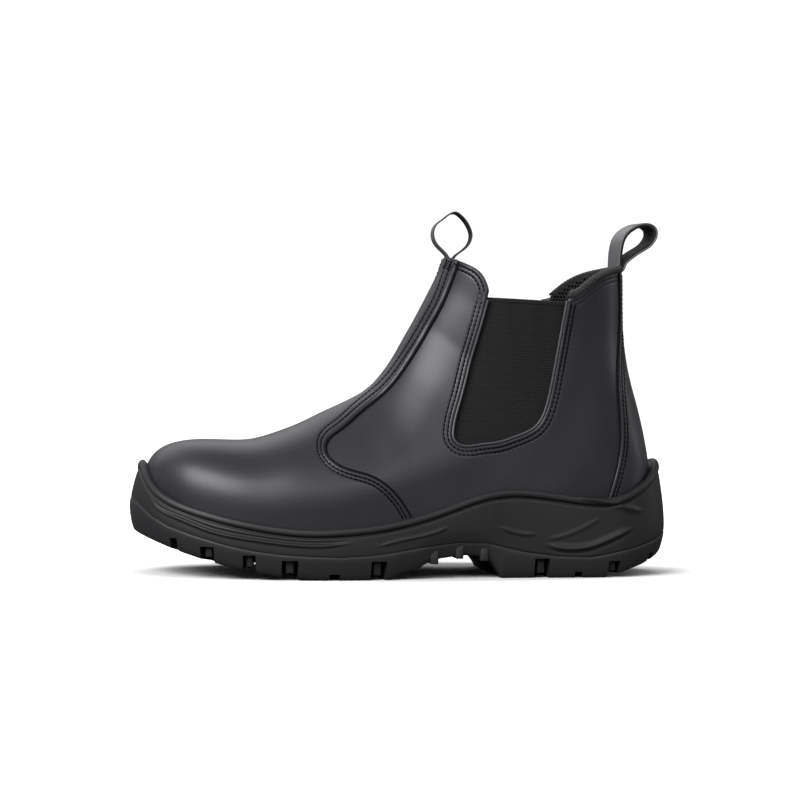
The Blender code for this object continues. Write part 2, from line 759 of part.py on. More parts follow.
def build_recess(boot, name, row):
    """A hollow under the tread with rounded ends, inside the edge lugs."""
    points = []
    for height in (RECESS_BELOW, RECESS_DEPTH):
        for i in range(RECESS_POINTS):
            turn = 2 * np.pi * i / RECESS_POINTS
            x = (row.first + row.last) / 2 - (row.last - row.first) / 2 * np.cos(turn)
            low = sole_edge(x, 1) + RECESS_INSET
            high = sole_edge(x, 2) - RECESS_INSET
            reach = np.sign(np.sin(turn)) * np.abs(np.sin(turn)) ** RECESS_ROUNDING
            y = (low + high) / 2 + (high - low) / 2 * reach
            points.append((x, y, tread_height(x) + height))
    count = RECESS_POINTS
    faces = ring_faces(2, count)[2:]
    for base in (0, count):
        for i in range(1, count // 2):
            corners = [base + i - 1, base + i, base + count - i, base + (count - i + 1) % count]
            faces.append(list(dict.fromkeys(corners)))
        middle = base + count // 2
        faces.append([middle - 1, middle, middle + 1])
    return hide_helper(object_from(name, points, faces, boot.cutters))


def box(boot, name, size, place, turn):
    """A closed box, for a cutter or a lug, standing at place and turned about Z and then Y."""
    made = bpy.data.meshes.new(name)
    shape = bmesh.new()
    bmesh.ops.create_cube(shape, size=1.0)
    bmesh.ops.scale(shape, vec=Vector(size) * SCALE, verts=shape.verts)
    shape.to_mesh(made)
    shape.free()
    obj = bpy.data.objects.new(name, made)
    obj.matrix_world = Matrix.Translation(Vector(place) * SCALE) @ turn
    boot.cutters.objects.link(obj)
    return hide_helper(obj)


def edge_frame(side, x):
    """Place on the sole's edge at x, the turn that points local +Y outward, and the slope."""
    column = 1 if side == "lateral" else 2
    y = sole_edge(x, column)
    slope = (sole_edge(x + 2.0, column) - sole_edge(x - 2.0, column)) / 4.0
    outward = Vector((slope, -1.0)) if side == "lateral" else Vector((-slope, 1.0))
    turn = Matrix.Rotation(np.arctan2(outward.y, outward.x) - np.pi / 2, 4, "Z")
    return Vector((x, y, tread_height(x))), turn, outward.normalized()


def joined(boot, name, pieces):
    """One helper that holds several closed shapes which don't meet."""
    shape = bmesh.new()
    for piece in pieces:
        start = len(shape.verts)
        shape.from_mesh(piece.data)
        shape.verts.ensure_lookup_table()
        bmesh.ops.transform(shape, matrix=piece.matrix_world, verts=shape.verts[start:])
        bpy.data.objects.remove(piece)
    mesh = bpy.data.meshes.new(name)
    shape.to_mesh(mesh)
    shape.free()
    obj = bpy.data.objects.new(name, mesh)
    boot.cutters.objects.link(obj)
    return hide_helper(obj)


def lug_gap_cutters(boot):
    """The gaps between the edge lugs, and the small blocks that stand back inside them."""
    gaps, blocks = [], []
    for side in ("lateral", "medial"):
        for number, gap in enumerate(LUG_GAPS):
            place, turn, outward = edge_frame(side, gap.x)
            middle = place - Vector((*(outward * (gap.depth - GAP_OUTSIDE) / 2), 0))
            middle.z += (gap.height - GAP_BELOW) / 2
            size = (gap.width, gap.depth + GAP_OUTSIDE, gap.height + GAP_BELOW)
            gaps.append(box(boot, f"gap_{side}_{number}", size, middle, turn))
            if gap.width < GAP_BLOCK_MIN_WIDTH:
                continue
            tall = gap.height * GAP_BLOCK_HEIGHT
            inward = GAP_BLOCK_SETBACK + FOOT_TUCK + GAP_BLOCK_DEPTH / 2
            centre = place - Vector((*(outward * inward), 0))
            centre.z += gap.height + LUG_OVERLAP / 2 - tall / 2
            size = (gap.width * GAP_BLOCK_SHARE, GAP_BLOCK_DEPTH, tall)
            blocks.append(box(boot, f"block_{side}_{number}", size, centre, turn))
    return joined(boot, "lug_gaps", gaps), joined(boot, "gap_blocks", blocks)


def centre_lugs(boot):
    """Lugs across the middle of each recess, square to the ground face."""
    lugs = []
    for row in RECESSES:
        pitch = (row.last - row.first) / (row.lugs + 1)
        for number in range(row.lugs):
            x = row.first + pitch * (number + 1)
            low, high = sole_edge(x, 1), sole_edge(x, 2)
            width = (high - low - 2 * RECESS_INSET) * CENTRE_LUG_SHARE
            slope = np.arctan2(tread_height(x + 1.0) - tread_height(x - 1.0), 2.0)
            turn = Matrix.Rotation(-slope, 4, "Y")
            tall = RECESS_DEPTH + LUG_OVERLAP
            place = Vector((x, (low + high) / 2, tread_height(x) + tall / 2))
            size = (CENTRE_LUG_LENGTH, width, tall)
            lugs.append(box(boot, f"centre_lug_{row.first}_{number}", size, place, turn))
    return joined(boot, "centre_lugs", lugs)


def arch_bars(boot):
    """Bars across the arch that stand a little below it and out of its sides."""
    bars = []
    for number, x in enumerate(ARCH_BARS):
        low, high = sole_edge(x, 1), sole_edge(x, 2)
        size = (ARCH_BAR_WIDTH, high - low - 2 * ARCH_BAR_INSET, ARCH_BAR_HEIGHT)
        middle = tread_height(x) - ARCH_BAR_DROP + ARCH_BAR_HEIGHT / 2
        place = Vector((x, (low + high) / 2, middle))
        bars.append(box(boot, f"arch_bar_{number}", size, place, Matrix.Identity(4)))
    return joined(boot, "arch_bars", bars)


def build_soles(boot):
    midsole = edge_slab("midsole", midsole_levels, boot.parts)
    boot.combine(midsole, boot_body(boot, GAP, "sole_cavity"), "DIFFERENCE", SHELL_SOLVER)
    boot.add_part(midsole, boot.rubber)
    outsole = edge_slab("outsole", outsole_levels, boot.parts)
    gaps, blocks = lug_gap_cutters(boot)
    for number, row in enumerate(RECESSES):
        boot.combine(outsole, build_recess(boot, f"recess_{number}", row), "DIFFERENCE")
    boot.combine(outsole, gaps, "DIFFERENCE")
    boot.combine(outsole, blocks, "UNION")
    boot.combine(outsole, centre_lugs(boot), "UNION")
    boot.combine(outsole, arch_bars(boot), "UNION")
    boot.add_part(outsole, boot.rubber)


def strap_ring(boot, name, loop, twist):
    """The ring of a pull loop: a strap of even thickness bent round a side view line."""
    middle = smooth_outline((*loop, loop[0]), STRAP_POINTS)[:-1]
    x = np.array([p.x for p in middle])
    z = np.array([p.z for p in middle])
    dx = np.roll(x, -1) - np.roll(x, 1)
    dz = np.roll(z, -1) - np.roll(z, 1)
    size = np.hypot(dx, dz) / (STRAP_THICKNESS / 2)
    points = []
    for y in (-STRAP_WIDTH / 2, STRAP_WIDTH / 2):
        for side in (1, -1):
            points.extend(np.column_stack([x + side * dz / size, x * 0 + y, z - side * dx / size]))
    count = len(middle)
    faces = []
    for i in range(count):
        j = (i + 1) % count
        for first, second in ((0, 1), (1, 3), (3, 2), (2, 0)):
            a, b = first * count, second * count
            faces.append([a + i, a + j, b + j, b + i])
    ring = object_from(name, points, faces, boot.parts)
    centre = Vector((loop[0].x, 0.0, 0.0)) * SCALE
    turn = Matrix.Rotation(twist, 4, "Z")
    ring.data.transform(Matrix.Translation(centre) @ turn @ Matrix.Translation(-centre))
    return ring


def build_strap(boot, name, loop, twist, tail):
    """A pull loop: its ring, and its tail flat against the inside of the leather."""
    ring = strap_ring(boot, name, loop, twist)
    outline = [
        Point(tail.x - TAIL_REACH, tail.low),
        Point(tail.x + TAIL_REACH, tail.low),
        Point(tail.x + TAIL_REACH, tail.high),
        Point(tail.x - TAIL_REACH, tail.high),
    ]
    depth = LEATHER + TAIL_CLEARANCE
    half = STRAP_WIDTH / 2 - TAIL_INSET
    tail_name = f"{name}_tail"
    band = lining_band(boot, tail_name, boot.cutters, depth, STRAP_THICKNESS, outline, -half, half)
    boot.combine(ring, hide_helper(band), "UNION")
    return boot.add_part(ring, boot.leather)


def binding_line(boot):
    """Points round the back of the collar, where the leather meets a line above its edge."""
    lift = BINDING_RADIUS + GAP
    line = grown(smooth_outline(COLLAR[BACK_COLLAR_START:], BINDING_POINTS), -lift)
    places = np.array([v.co[:] for v in boot.form(-LEATHER / 2).data.vertices]) / SCALE
    grid = places[:-2].reshape(boot.grid.shape)
    found = []
    for j in range(1, 2 * LAST_SIDE_POINTS):
        column = grid[:, j]
        above = column[:, 2] - height_on(line, column[:, 0])
        for i in range(len(column) - 1, 0, -1):
            if above[i - 1] < 0 <= above[i]:
                share = above[i - 1] / (above[i - 1] - above[i])
                found.append(column[i - 1] + (column[i] - column[i - 1]) * share)
                break
    return [p for p in found if p[0] > COLLAR[BACK_COLLAR_START].x]


def build_binding(boot):
    """The rolled edge round the back of the collar, as a tube just above the leather."""
    edge = binding_line(boot)
    curve = bpy.data.curves.new("collar_binding", "CURVE")
    curve.dimensions = "3D"
    curve.bevel_depth = BINDING_RADIUS * MM
    curve.bevel_resolution = 2
    curve.use_fill_caps = True
    run = curve.splines.new("POLY")
    run.points.add(len(edge) - 1)
    for point, place in zip(run.points, edge):
        point.co = (*(Vector(place) * SCALE), 1.0)
    obj = bpy.data.objects.new("collar_binding", curve)
    boot.parts.objects.link(obj)
    return boot.add_part(obj, boot.textile)


def stand_on_origin(boot):
    """Parents everything to one empty, which puts the middle of the sole over the origin."""
    bpy.context.view_layer.update()
    graph = bpy.context.evaluated_depsgraph_get()
    corners = []
    for name in ("midsole", "outsole"):
        shape = boot.parts.objects[name].evaluated_get(graph)
        corners.extend(shape.matrix_world @ Vector(c) for c in shape.bound_box)
    low = Vector(map(min, zip(*corners)))
    high = Vector(map(max, zip(*corners)))
    frame = bpy.data.objects.new("boot_frame", None)
    boot.parts.objects.link(frame)
    frame.location = Vector((-(low.x + high.x) / 2, -(low.y + high.y) / 2, -low.z))
    for obj in (*boot.parts.objects, *boot.cutters.objects):
        if obj is not frame:
            obj.parent = frame


def main():
    boot = Boot(*clear_scene())
    build_upper(boot)
    build_gores(boot)
    build_insole(boot)
    build_soles(boot)
    build_strap(boot, "front_pull_loop", FRONT_LOOP, FRONT_LOOP_TWIST, FRONT_LOOP_TAIL)
    build_strap(boot, "back_pull_loop", BACK_LOOP, BACK_LOOP_TWIST, BACK_LOOP_TAIL)
    build_binding(boot)
    stand_on_origin(boot)


main()
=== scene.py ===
"""Dresses the side gore work boot: leather, elastic, stitches, collar, pull loops and sole.

Lengths are millimetres in the pattern frame: the toe points along -X, the outer side faces -Y and
the floor is z = 0. The function metres() puts them in the CAD frame.
"""

from __future__ import annotations

import logging
import math
from dataclasses import dataclass, field
from enum import Enum
from typing import Callable, Sequence

import bmesh
import bpy
import numpy as np
from mathutils import Matrix, Vector
from mathutils.bvhtree import BVHTree

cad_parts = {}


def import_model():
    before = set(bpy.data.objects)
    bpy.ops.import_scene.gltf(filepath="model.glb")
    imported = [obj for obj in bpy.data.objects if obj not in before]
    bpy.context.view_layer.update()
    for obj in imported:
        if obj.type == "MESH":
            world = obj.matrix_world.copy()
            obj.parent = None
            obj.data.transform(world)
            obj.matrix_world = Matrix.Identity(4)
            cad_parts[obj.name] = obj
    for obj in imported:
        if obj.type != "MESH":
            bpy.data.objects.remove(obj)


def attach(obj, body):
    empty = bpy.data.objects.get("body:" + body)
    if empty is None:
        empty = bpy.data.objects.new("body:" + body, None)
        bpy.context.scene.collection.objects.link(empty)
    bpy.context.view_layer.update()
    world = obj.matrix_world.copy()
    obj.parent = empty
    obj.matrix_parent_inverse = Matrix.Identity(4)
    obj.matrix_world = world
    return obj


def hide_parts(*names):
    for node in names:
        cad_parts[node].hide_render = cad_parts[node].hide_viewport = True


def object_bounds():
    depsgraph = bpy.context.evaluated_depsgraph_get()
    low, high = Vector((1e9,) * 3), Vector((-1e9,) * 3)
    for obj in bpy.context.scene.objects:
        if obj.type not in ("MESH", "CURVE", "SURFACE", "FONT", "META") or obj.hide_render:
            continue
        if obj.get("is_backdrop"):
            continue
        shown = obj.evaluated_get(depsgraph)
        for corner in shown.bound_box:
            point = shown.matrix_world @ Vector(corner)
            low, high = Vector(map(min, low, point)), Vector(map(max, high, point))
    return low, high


LOG = logging.getLogger("work_boot")
MM = 0.001
FRAME_SHIFT = (-0.142, 1.281, 0.0)
BODY = "root"
Array = np.ndarray
Line = Sequence[tuple[float, float]]
Form = tuple[Array, list[tuple[int, ...]]]
Material = bpy.types.Material
Socket = bpy.types.NodeSocket
Tree = bpy.types.NodeTree
Node = bpy.types.Node
Offset = Callable[[Array], Array]

# Thicknesses of the real layers.
LEATHER = 2.2
OVERLAY = 1.2
GORE_DEPTH = 2.5
GORE_THICKNESS = 1.4

# Rows of the last: ridge point x z, far point x z, ridge y, outer y, inner y, far y, share of the
# way to the widest point, and the powers of the curve on each side of it.
LAST = (
    (-144.6, 52.0, -144.6, 42.0, 6.0, 0.4, 11.6, 6.0, 0.60, 2.2, 2.6),
    (-143.6, 57.0, -143.6, 37.6, 6.0, -6.0, 18.0, 6.0, 0.62, 2.2, 3.2),
    (-141.2, 62.4, -141.0, 34.6, 6.0, -14.0, 25.4, 5.5, 0.64, 2.3, 4.2),
    (-136.6, 67.4, -136.0, 31.8, 5.5, -21.6, 31.4, 5.0, 0.66, 2.4, 5.2),
    (-128.6, 71.1, -127.6, 28.8, 5.0, -30.6, 37.4, 4.0, 0.68, 2.45, 6.2),
    (-117.0, 73.1, -115.6, 25.6, 4.5, -38.6, 42.0, 3.0, 0.69, 2.45, 7.0),
    (-102.0, 73.2, -99.6, 22.0, 4.0, -45.0, 45.8, 2.0, 0.70, 2.4, 7.5),
    (-87.0, 73.6, -81.5, 19.4, 3.5, -49.0, 47.8, 1.0, 0.70, 2.3, 8.0),
    (-72.5, 77.6, -61.5, 17.8, 3.2, -51.4, 48.8, 0.0, 0.69, 2.2, 8.0),
    (-58.0, 83.0, -40.0, 17.8, 3.0, -51.6, 47.4, -1.0, 0.68, 2.05, 8.0),
    (-43.5, 90.0, -17.0, 20.0, 2.8, -50.0, 44.6, -1.5, 0.66, 1.95, 8.0),
    (-30.2, 96.6, 9.0, 24.4, 2.5, -47.0, 41.2, -1.5, 0.64, 1.9, 7.5),
    (-19.0, 103.8, 36.0, 28.4, 2.2, -43.6, 38.4, -1.0, 0.61, 1.9, 7.0),
    (-10.6, 113.0, 64.0, 30.4, 1.8, -40.8, 36.6, -0.5, 0.58, 1.95, 6.5),
    (-4.4, 122.2, 91.0, 31.0, 1.5, -38.6, 35.8, 0.0, 0.56, 2.0, 6.0),
    (0.4, 130.8, 114.0, 31.0, 1.2, -37.2, 35.4, 0.0, 0.54, 2.05, 5.4),
    (3.6, 136.4, 130.0, 32.0, 1.1, -36.6, 35.2, 0.0, 0.53, 2.1, 4.4),
    (6.4, 141.4, 138.4, 36.6, 0.9, -36.2, 35.0, 0.0, 0.53, 2.1, 3.6),
    (9.0, 146.2, 141.4, 46.6, 0.8, -35.9, 34.9, 0.0, 0.52, 2.15, 3.0),
    (11.8, 151.6, 141.6, 60.0, 0.6, -35.6, 34.7, 0.0, 0.51, 2.2, 2.7),
    (14.8, 157.6, 138.8, 77.0, 0.4, -35.4, 34.6, 0.0, 0.50, 2.2, 2.5),
    (17.6, 163.4, 134.6, 95.0, 0.3, -35.2, 34.5, 0.0, 0.50, 2.2, 2.4),
    (20.2, 169.0, 129.4, 113.0, 0.2, -35.0, 34.4, 0.0, 0.50, 2.25, 2.35),
    (22.4, 174.6, 126.4, 130.5, 0.1, -34.9, 34.4, 0.0, 0.50, 2.3, 2.3),
    (24.2, 180.4, 125.3, 147.5, 0.0, -34.9, 34.5, 0.0, 0.50, 2.3, 2.3),
    (25.9, 186.4, 124.9, 164.5, 0.0, -35.1, 34.7, 0.0, 0.50, 2.3, 2.3),
    (27.6, 192.8, 124.7, 181.0, 0.0, -35.4, 35.0, 0.0, 0.50, 2.3, 2.3),
    (29.3, 199.2, 124.6, 197.0, 0.0, -35.8, 35.4, 0.0, 0.50, 2.3, 2.3),
)
FIRST_SIDE_ROW = 2
FOOT_TOP = 37.0

# Side view lines of the patterns, x and z.
VAMP_EDGE = (
    (31.0, 190.0), (28.4, 178.0), (24.4, 165.4), (20.2, 154.6), (13.0, 140.3), (1.4, 120.5),
    (-12.4, 102.8), (-27.4, 91.0), (-40.9, 80.8), (-48.4, 74.2), (-49.4, 69.4), (-45.6, 64.0),
    (-25.5, 56.6), (-8.6, 42.6), (-1.2, 29.0), (3.4, 10.0),
)
BACK_STAY_EDGE = (
    (119.0, 190.0), (120.3, 172.0), (121.2, 139.0), (118.8, 116.4), (119.0, 94.0), (119.4, 77.0),
    (114.9, 54.6), (110.0, 40.0), (104.0, 26.0),
)
GORE_NOTCH = (
    (44.6, 170.0), (42.0, 156.3), (37.3, 137.9), (31.7, 118.3), (26.2, 98.8), (21.5, 82.2),
    (21.9, 76.7), (25.8, 73.4), (31.4, 72.9), (39.9, 74.1), (48.4, 75.2), (57.0, 78.0),
    (65.6, 81.4), (71.4, 85.9), (74.3, 91.0), (78.2, 105.0), (82.8, 130.2), (87.4, 155.5),
    (90.0, 170.0),
)
COLLAR_FRONT = (
    (21.0, 181.0), (26.4, 177.6), (33.4, 173.9), (38.4, 170.0), (41.2, 165.2), (42.7, 160.2),
    (43.0, 155.0),
)
COLLAR_BETWEEN = ((43.4, 150.0), (84.0, 155.8))
COLLAR_BACK = (
    (87.6, 156.4), (93.2, 158.0), (97.6, 161.2), (102.6, 165.0), (109.0, 168.4), (117.0, 171.0),
    (134.0, 173.0),
)
COLLAR_ENDS = ((-170.0, 182.4), (14.0, 182.4))
FAR_BACK = 170.0
FAR_ABOVE = 260.0
LOOP_TACK = ((18.4, 178.4), (22.0, 177.4), (26.6, 174.6))


def metres(points: Array) -> Array:
    """Points of the pattern frame in the CAD frame, in metres."""
    return (np.asarray(points, float) + FRAME_SHIFT) * MM


def spline(knots: Array, values: Array, where: Array) -> Array:
    """Natural cubic spline.

    Args:
        knots: places of the given values, rising.
        values: the given values.
        where: places to read.

    Returns:
        The values at where.
    """
    knots, values, where = (np.asarray(v, float) for v in (knots, values, where))
    step = np.diff(knots)
    slope = np.diff(values) / step
    count = len(knots)
    system = np.eye(count)
    right = np.zeros(count)
    for i in range(1, count - 1):
        system[i, i - 1 : i + 2] = step[i - 1], 2 * (step[i - 1] + step[i]), step[i]
        right[i] = 6 * (slope[i] - slope[i - 1])
    bend = np.linalg.solve(system, right)
    i = np.clip(np.searchsorted(knots, where) - 1, 0, count - 2)
    t = where - knots[i]
    h = step[i]
    linear = slope[i] - h * (2 * bend[i] + bend[i + 1]) / 6
    return values[i] + t * (linear + t * (bend[i] / 2 + t * (bend[i + 1] - bend[i]) / (6 * h)))


def height_on(line: Array, x: float) -> float:
    """Height of a side view line at x."""
    return float(np.interp(x, line[:, 0], line[:, 1]))


def unit(vectors: Array) -> Array:
    """Vectors brought to a length of one."""
    return vectors / np.linalg.norm(vectors, axis=-1, keepdims=True)


def run_length(points: Array) -> Array:
    """Length along a line up to each of its points."""
    steps = np.linalg.norm(np.diff(np.asarray(points, float), axis=0), axis=1)
    return np.concatenate([[0.0], np.cumsum(steps)])


def smooth_line(points: Sequence[Sequence[float]], steps: int) -> Array:
    """Evenly spaced points on a smooth line through a few points.

    Args:
        points: the few points.
        steps: how many to make.

    Returns:
        The points.
    """
    knots = np.asarray(points, float)
    along = run_length(knots)
    where = np.linspace(0, along[-1], steps)
    return np.column_stack([spline(along, knots[:, c], where) for c in range(knots.shape[1])])


def evenly(points: Array, pitch: float) -> Array:
    """Points at an even pitch along a line of points.

    Args:
        points: the line.
        pitch: wanted distance between points.

    Returns:
        The points.
    """
    along = run_length(points)
    count = max(2, int(round(along[-1] / pitch)) + 1)
    where = np.linspace(0, along[-1], count)
    return np.column_stack([np.interp(where, along, points[:, c]) for c in range(points.shape[1])])


def sideways(line: Array, distance: float) -> Array:
    """A side view line moved to its right as it runs.

    Args:
        line: the line.
        distance: how far to move it.

    Returns:
        The moved line.
    """
    dx, dz = np.gradient(line[:, 0]), np.gradient(line[:, 1])
    size = np.hypot(dx, dz)
    return np.column_stack([line[:, 0] + dz / size * distance, line[:, 1] - dx / size * distance])


def inside(outline: Array, x: Array, z: Array) -> Array:
    """True where side view places lie inside a closed outline.

    Args:
        outline: corners of the outline.
        x: places to test.
        z: their heights.

    Returns:
        True or False for each place.
    """
    found = np.zeros(np.shape(x), bool)
    for (x0, z0), (x1, z1) in zip(outline, np.roll(outline, -1, axis=0)):
        crosses = (z0 > z) != (z1 > z)
        at = (x1 - x0) * (z - z0) / (z1 - z0 + 1e-12) + x0
        found ^= crosses & (x < at)
    return found


def distance_to(line: Array, x: Array, z: Array) -> Array:
    """Distance in side view from places to a line.

    Args:
        line: points of the line.
        x: places to measure.
        z: their heights.

    Returns:
        The distance of each place.
    """
    best = np.full(np.shape(x), np.inf)
    for (x0, z0), (x1, z1) in zip(line[:-1], line[1:]):
        dx, dz = x1 - x0, z1 - z0
        share = np.clip(((x - x0) * dx + (z - z0) * dz) / (dx * dx + dz * dz + 1e-12), 0, 1)
        best = np.minimum(best, np.hypot(x - x0 - share * dx, z - z0 - share * dz))
    return best


def bump(distance: Array, width: float) -> Array:
    """A smooth hump that is 1 at no distance and fades over width."""
    return np.exp(-((np.asarray(distance) / width) ** 2))


def rolled(distance: Array, radius: float) -> Array:
    """Height of a rounded edge, from 0 at the edge to 1 at radius."""
    share = np.clip(np.asarray(distance) / radius, 0, 1)
    return np.sqrt(np.maximum(0.0, 1 - (1 - share) ** 2))


def mesh_piece(name: str, form: Form, finish: Material) -> bpy.types.Object:
    """A smooth shaded object from a form in the pattern frame.

    Args:
        name: name of the piece.
        form: its points in millimetres and the corners of each face.
        finish: its material.

    Returns:
        The linked object, with its faces pointing out.
    """
    points, faces = form
    mesh = bpy.data.meshes.new(name)
    mesh.from_pydata(metres(points).tolist(), [], [tuple(int(i) for i in f) for f in faces])
    shape = bmesh.new()
    shape.from_mesh(mesh)
    loose = [v for v in shape.verts if not v.link_faces]
    bmesh.ops.delete(shape, geom=loose, context="VERTS")
    bmesh.ops.recalc_face_normals(shape, faces=shape.faces)
    for face in shape.faces:
        face.smooth = True
    shape.to_mesh(mesh)
    shape.free()
    mesh.materials.append(finish)
    obj = bpy.data.objects.new(name, mesh)
    bpy.context.scene.collection.objects.link(obj)
    return obj


def ride(obj: bpy.types.Object, slot: str, *nodes: str) -> bpy.types.Object:
    """Puts a piece on the boot's body.

    Args:
        obj: the piece.
        slot: its finish slot; not used.
        nodes: CAD nodes that it stands for.

    Returns:
        The same piece.
    """
    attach(obj, BODY)
    if nodes:
        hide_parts(*nodes)
    LOG.info("%s: %d faces", obj.name, len(obj.data.polygons))
    return obj


def bands(count: int, around: int) -> list[tuple[int, ...]]:
    """Faces between neighbouring rings of a grid of points.

    Args:
        count: number of rings.
        around: points of each ring.

    Returns:
        The corners of each face.
    """
    faces = []
    for i in range(count - 1):
        for j in range(around):
            k = (j + 1) % around
            faces.append((i * around + j, i * around + k, (i + 1) * around + k, (i + 1) * around + j))
    return faces


def closed_grid(rings: Array, caps: bool = True) -> Form:
    """A tube through rings of points.

    Args:
        rings: points as (ring, around, xyz).
        caps: True closes both ends with a fan to the ring's middle.

    Returns:
        The points and faces.
    """
    count, around, _ = rings.shape
    points = rings.reshape(-1, 3)
    faces = bands(count, around)
    if caps:
        ends = [rings[0].mean(axis=0), rings[-1].mean(axis=0)]
        points = np.vstack([points, ends])
        low, high = count * around, count * around + 1
        for j in range(around):
            k = (j + 1) % around
            faces.append((low, k, j))
            faces.append((high, (count - 1) * around + j, (count - 1) * around + k))
    return points, faces


def ring(place: Array, across: Array, up: Array, radius: float, turns: Array) -> list[Array]:
    """Points round a place, in the plane of two directions."""
    return [place + (across * math.cos(t) + up * math.sin(t)) * radius for t in turns]


def two_faced(front: Sequence, back: Sequence) -> Form:
    """A closed sheet between a front grid of points and a back one."""
    return closed_grid(np.concatenate([np.array(front), np.array(back)[:, ::-1]], axis=1))


def joined(forms: Sequence[Form]) -> Form:
    """Several forms as one.

    Args:
        forms: the forms.

    Returns:
        All their points and faces.
    """
    points, faces, base = [], [], 0
    for made, corners in forms:
        points.append(made)
        faces.extend(tuple(i + base for i in face) for face in corners)
        base += len(made)
    return np.vstack(points), faces


@dataclass
class LastSurface:
    """The outside of the leather: a fine loft over the last's rows."""

    rows: int = 200
    side_points: int = 112
    steps: int = 900
    grid: Array = field(init=False)
    normals: Array = field(init=False)
    faces: list[tuple[int, ...]] = field(init=False)
    tree: BVHTree = field(init=False)

    BESIDE = 120.0

    def __post_init__(self) -> None:
        """Lofts the surface and prepares it for finding places on it."""
        table = np.array(LAST)
        front = np.hypot(*np.diff(table[:, 0:2], axis=0).T)
        far = np.hypot(*np.diff(table[:, 2:4], axis=0).T)
        along = np.concatenate([[0], np.cumsum((front + far) / 2)])
        where = np.linspace(0, along[-1], self.rows)
        rows = np.array([spline(along, table[:, c], where) for c in range(table.shape[1])]).T
        rings = []
        for row in rows:
            outer = self.half(row, row[5])
            inner = self.half(row, row[6])
            rings.append(np.concatenate([outer, inner[-2:0:-1]]))
        self.grid = np.array(rings)
        ahead = np.gradient(self.grid, axis=0)
        across = np.roll(self.grid, -1, axis=1) - np.roll(self.grid, 1, axis=1)
        normals = np.cross(ahead, across)
        normals /= np.linalg.norm(normals, axis=2)[:, :, None] + 1e-12
        outward = self.grid - self.grid.mean(axis=1)[:, None, :]
        if (normals * outward).sum(axis=2).mean() < 0:
            normals = -normals
        self.normals = normals
        self.faces = bands(self.rows, self.grid.shape[1])
        self.tree = BVHTree.FromPolygons(self.grid.reshape(-1, 3).tolist(), self.faces)

    def half(self, row: Array, side_y: float) -> Array:
        """Points of one half of a section, evenly spaced from ridge to far point.

        Args:
            row: one row of the last.
            side_y: the widest y on this side.

        Returns:
            The points.
        """
        ridge_x, ridge_z, far_x, far_z, ridge_y, _, _, far_y, widest, front_power, back_power = row
        turn = np.linspace(0, np.pi, self.steps)
        front = turn < np.pi / 2
        power = np.where(front, 2 / front_power, 2 / back_power)
        reach = np.abs(np.cos(turn)) ** power
        share = np.where(front, widest * (1 - reach), widest + (1 - widest) * reach)
        centre = np.where(front, ridge_y, far_y)
        y = centre + (side_y - centre) * np.abs(np.sin(turn)) ** power
        x = ridge_x + (far_x - ridge_x) * share
        z = ridge_z + (far_z - ridge_z) * share
        curve = np.column_stack([x, y, z])
        length = run_length(curve)
        even = np.linspace(0, length[-1], self.side_points + 1)
        return np.column_stack([np.interp(even, length, curve[:, c]) for c in range(3)])

    def hit(self, start: Sequence[float], direction: Sequence[float]) -> tuple[Array, Array] | None:
        """First place on the surface along a ray.

        Args:
            start: where the ray starts.
            direction: where it goes.

        Returns:
            The place and the outward normal there, or None when the ray meets nothing.
        """
        softening = 0.05
        place, _, index, _ = self.tree.ray_cast(Vector(start), Vector(direction))
        if place is None:
            return None
        corners = list(self.faces[index])
        flat = self.grid.reshape(-1, 3)[corners]
        normals = self.normals.reshape(-1, 3)[corners]
        weight = 1 / (np.linalg.norm(flat - np.array(place), axis=1) + softening)
        normal = (normals * weight[:, None]).sum(axis=0)
        return np.array(place), normal / np.linalg.norm(normal)

    def at(self, side: int, x: float, z: float) -> tuple[Array, Array] | None:
        """The place on one side, -1 outer or 1 inner, at a side view position."""
        return self.hit((x, side * self.BESIDE, z), (0, -side, 0))


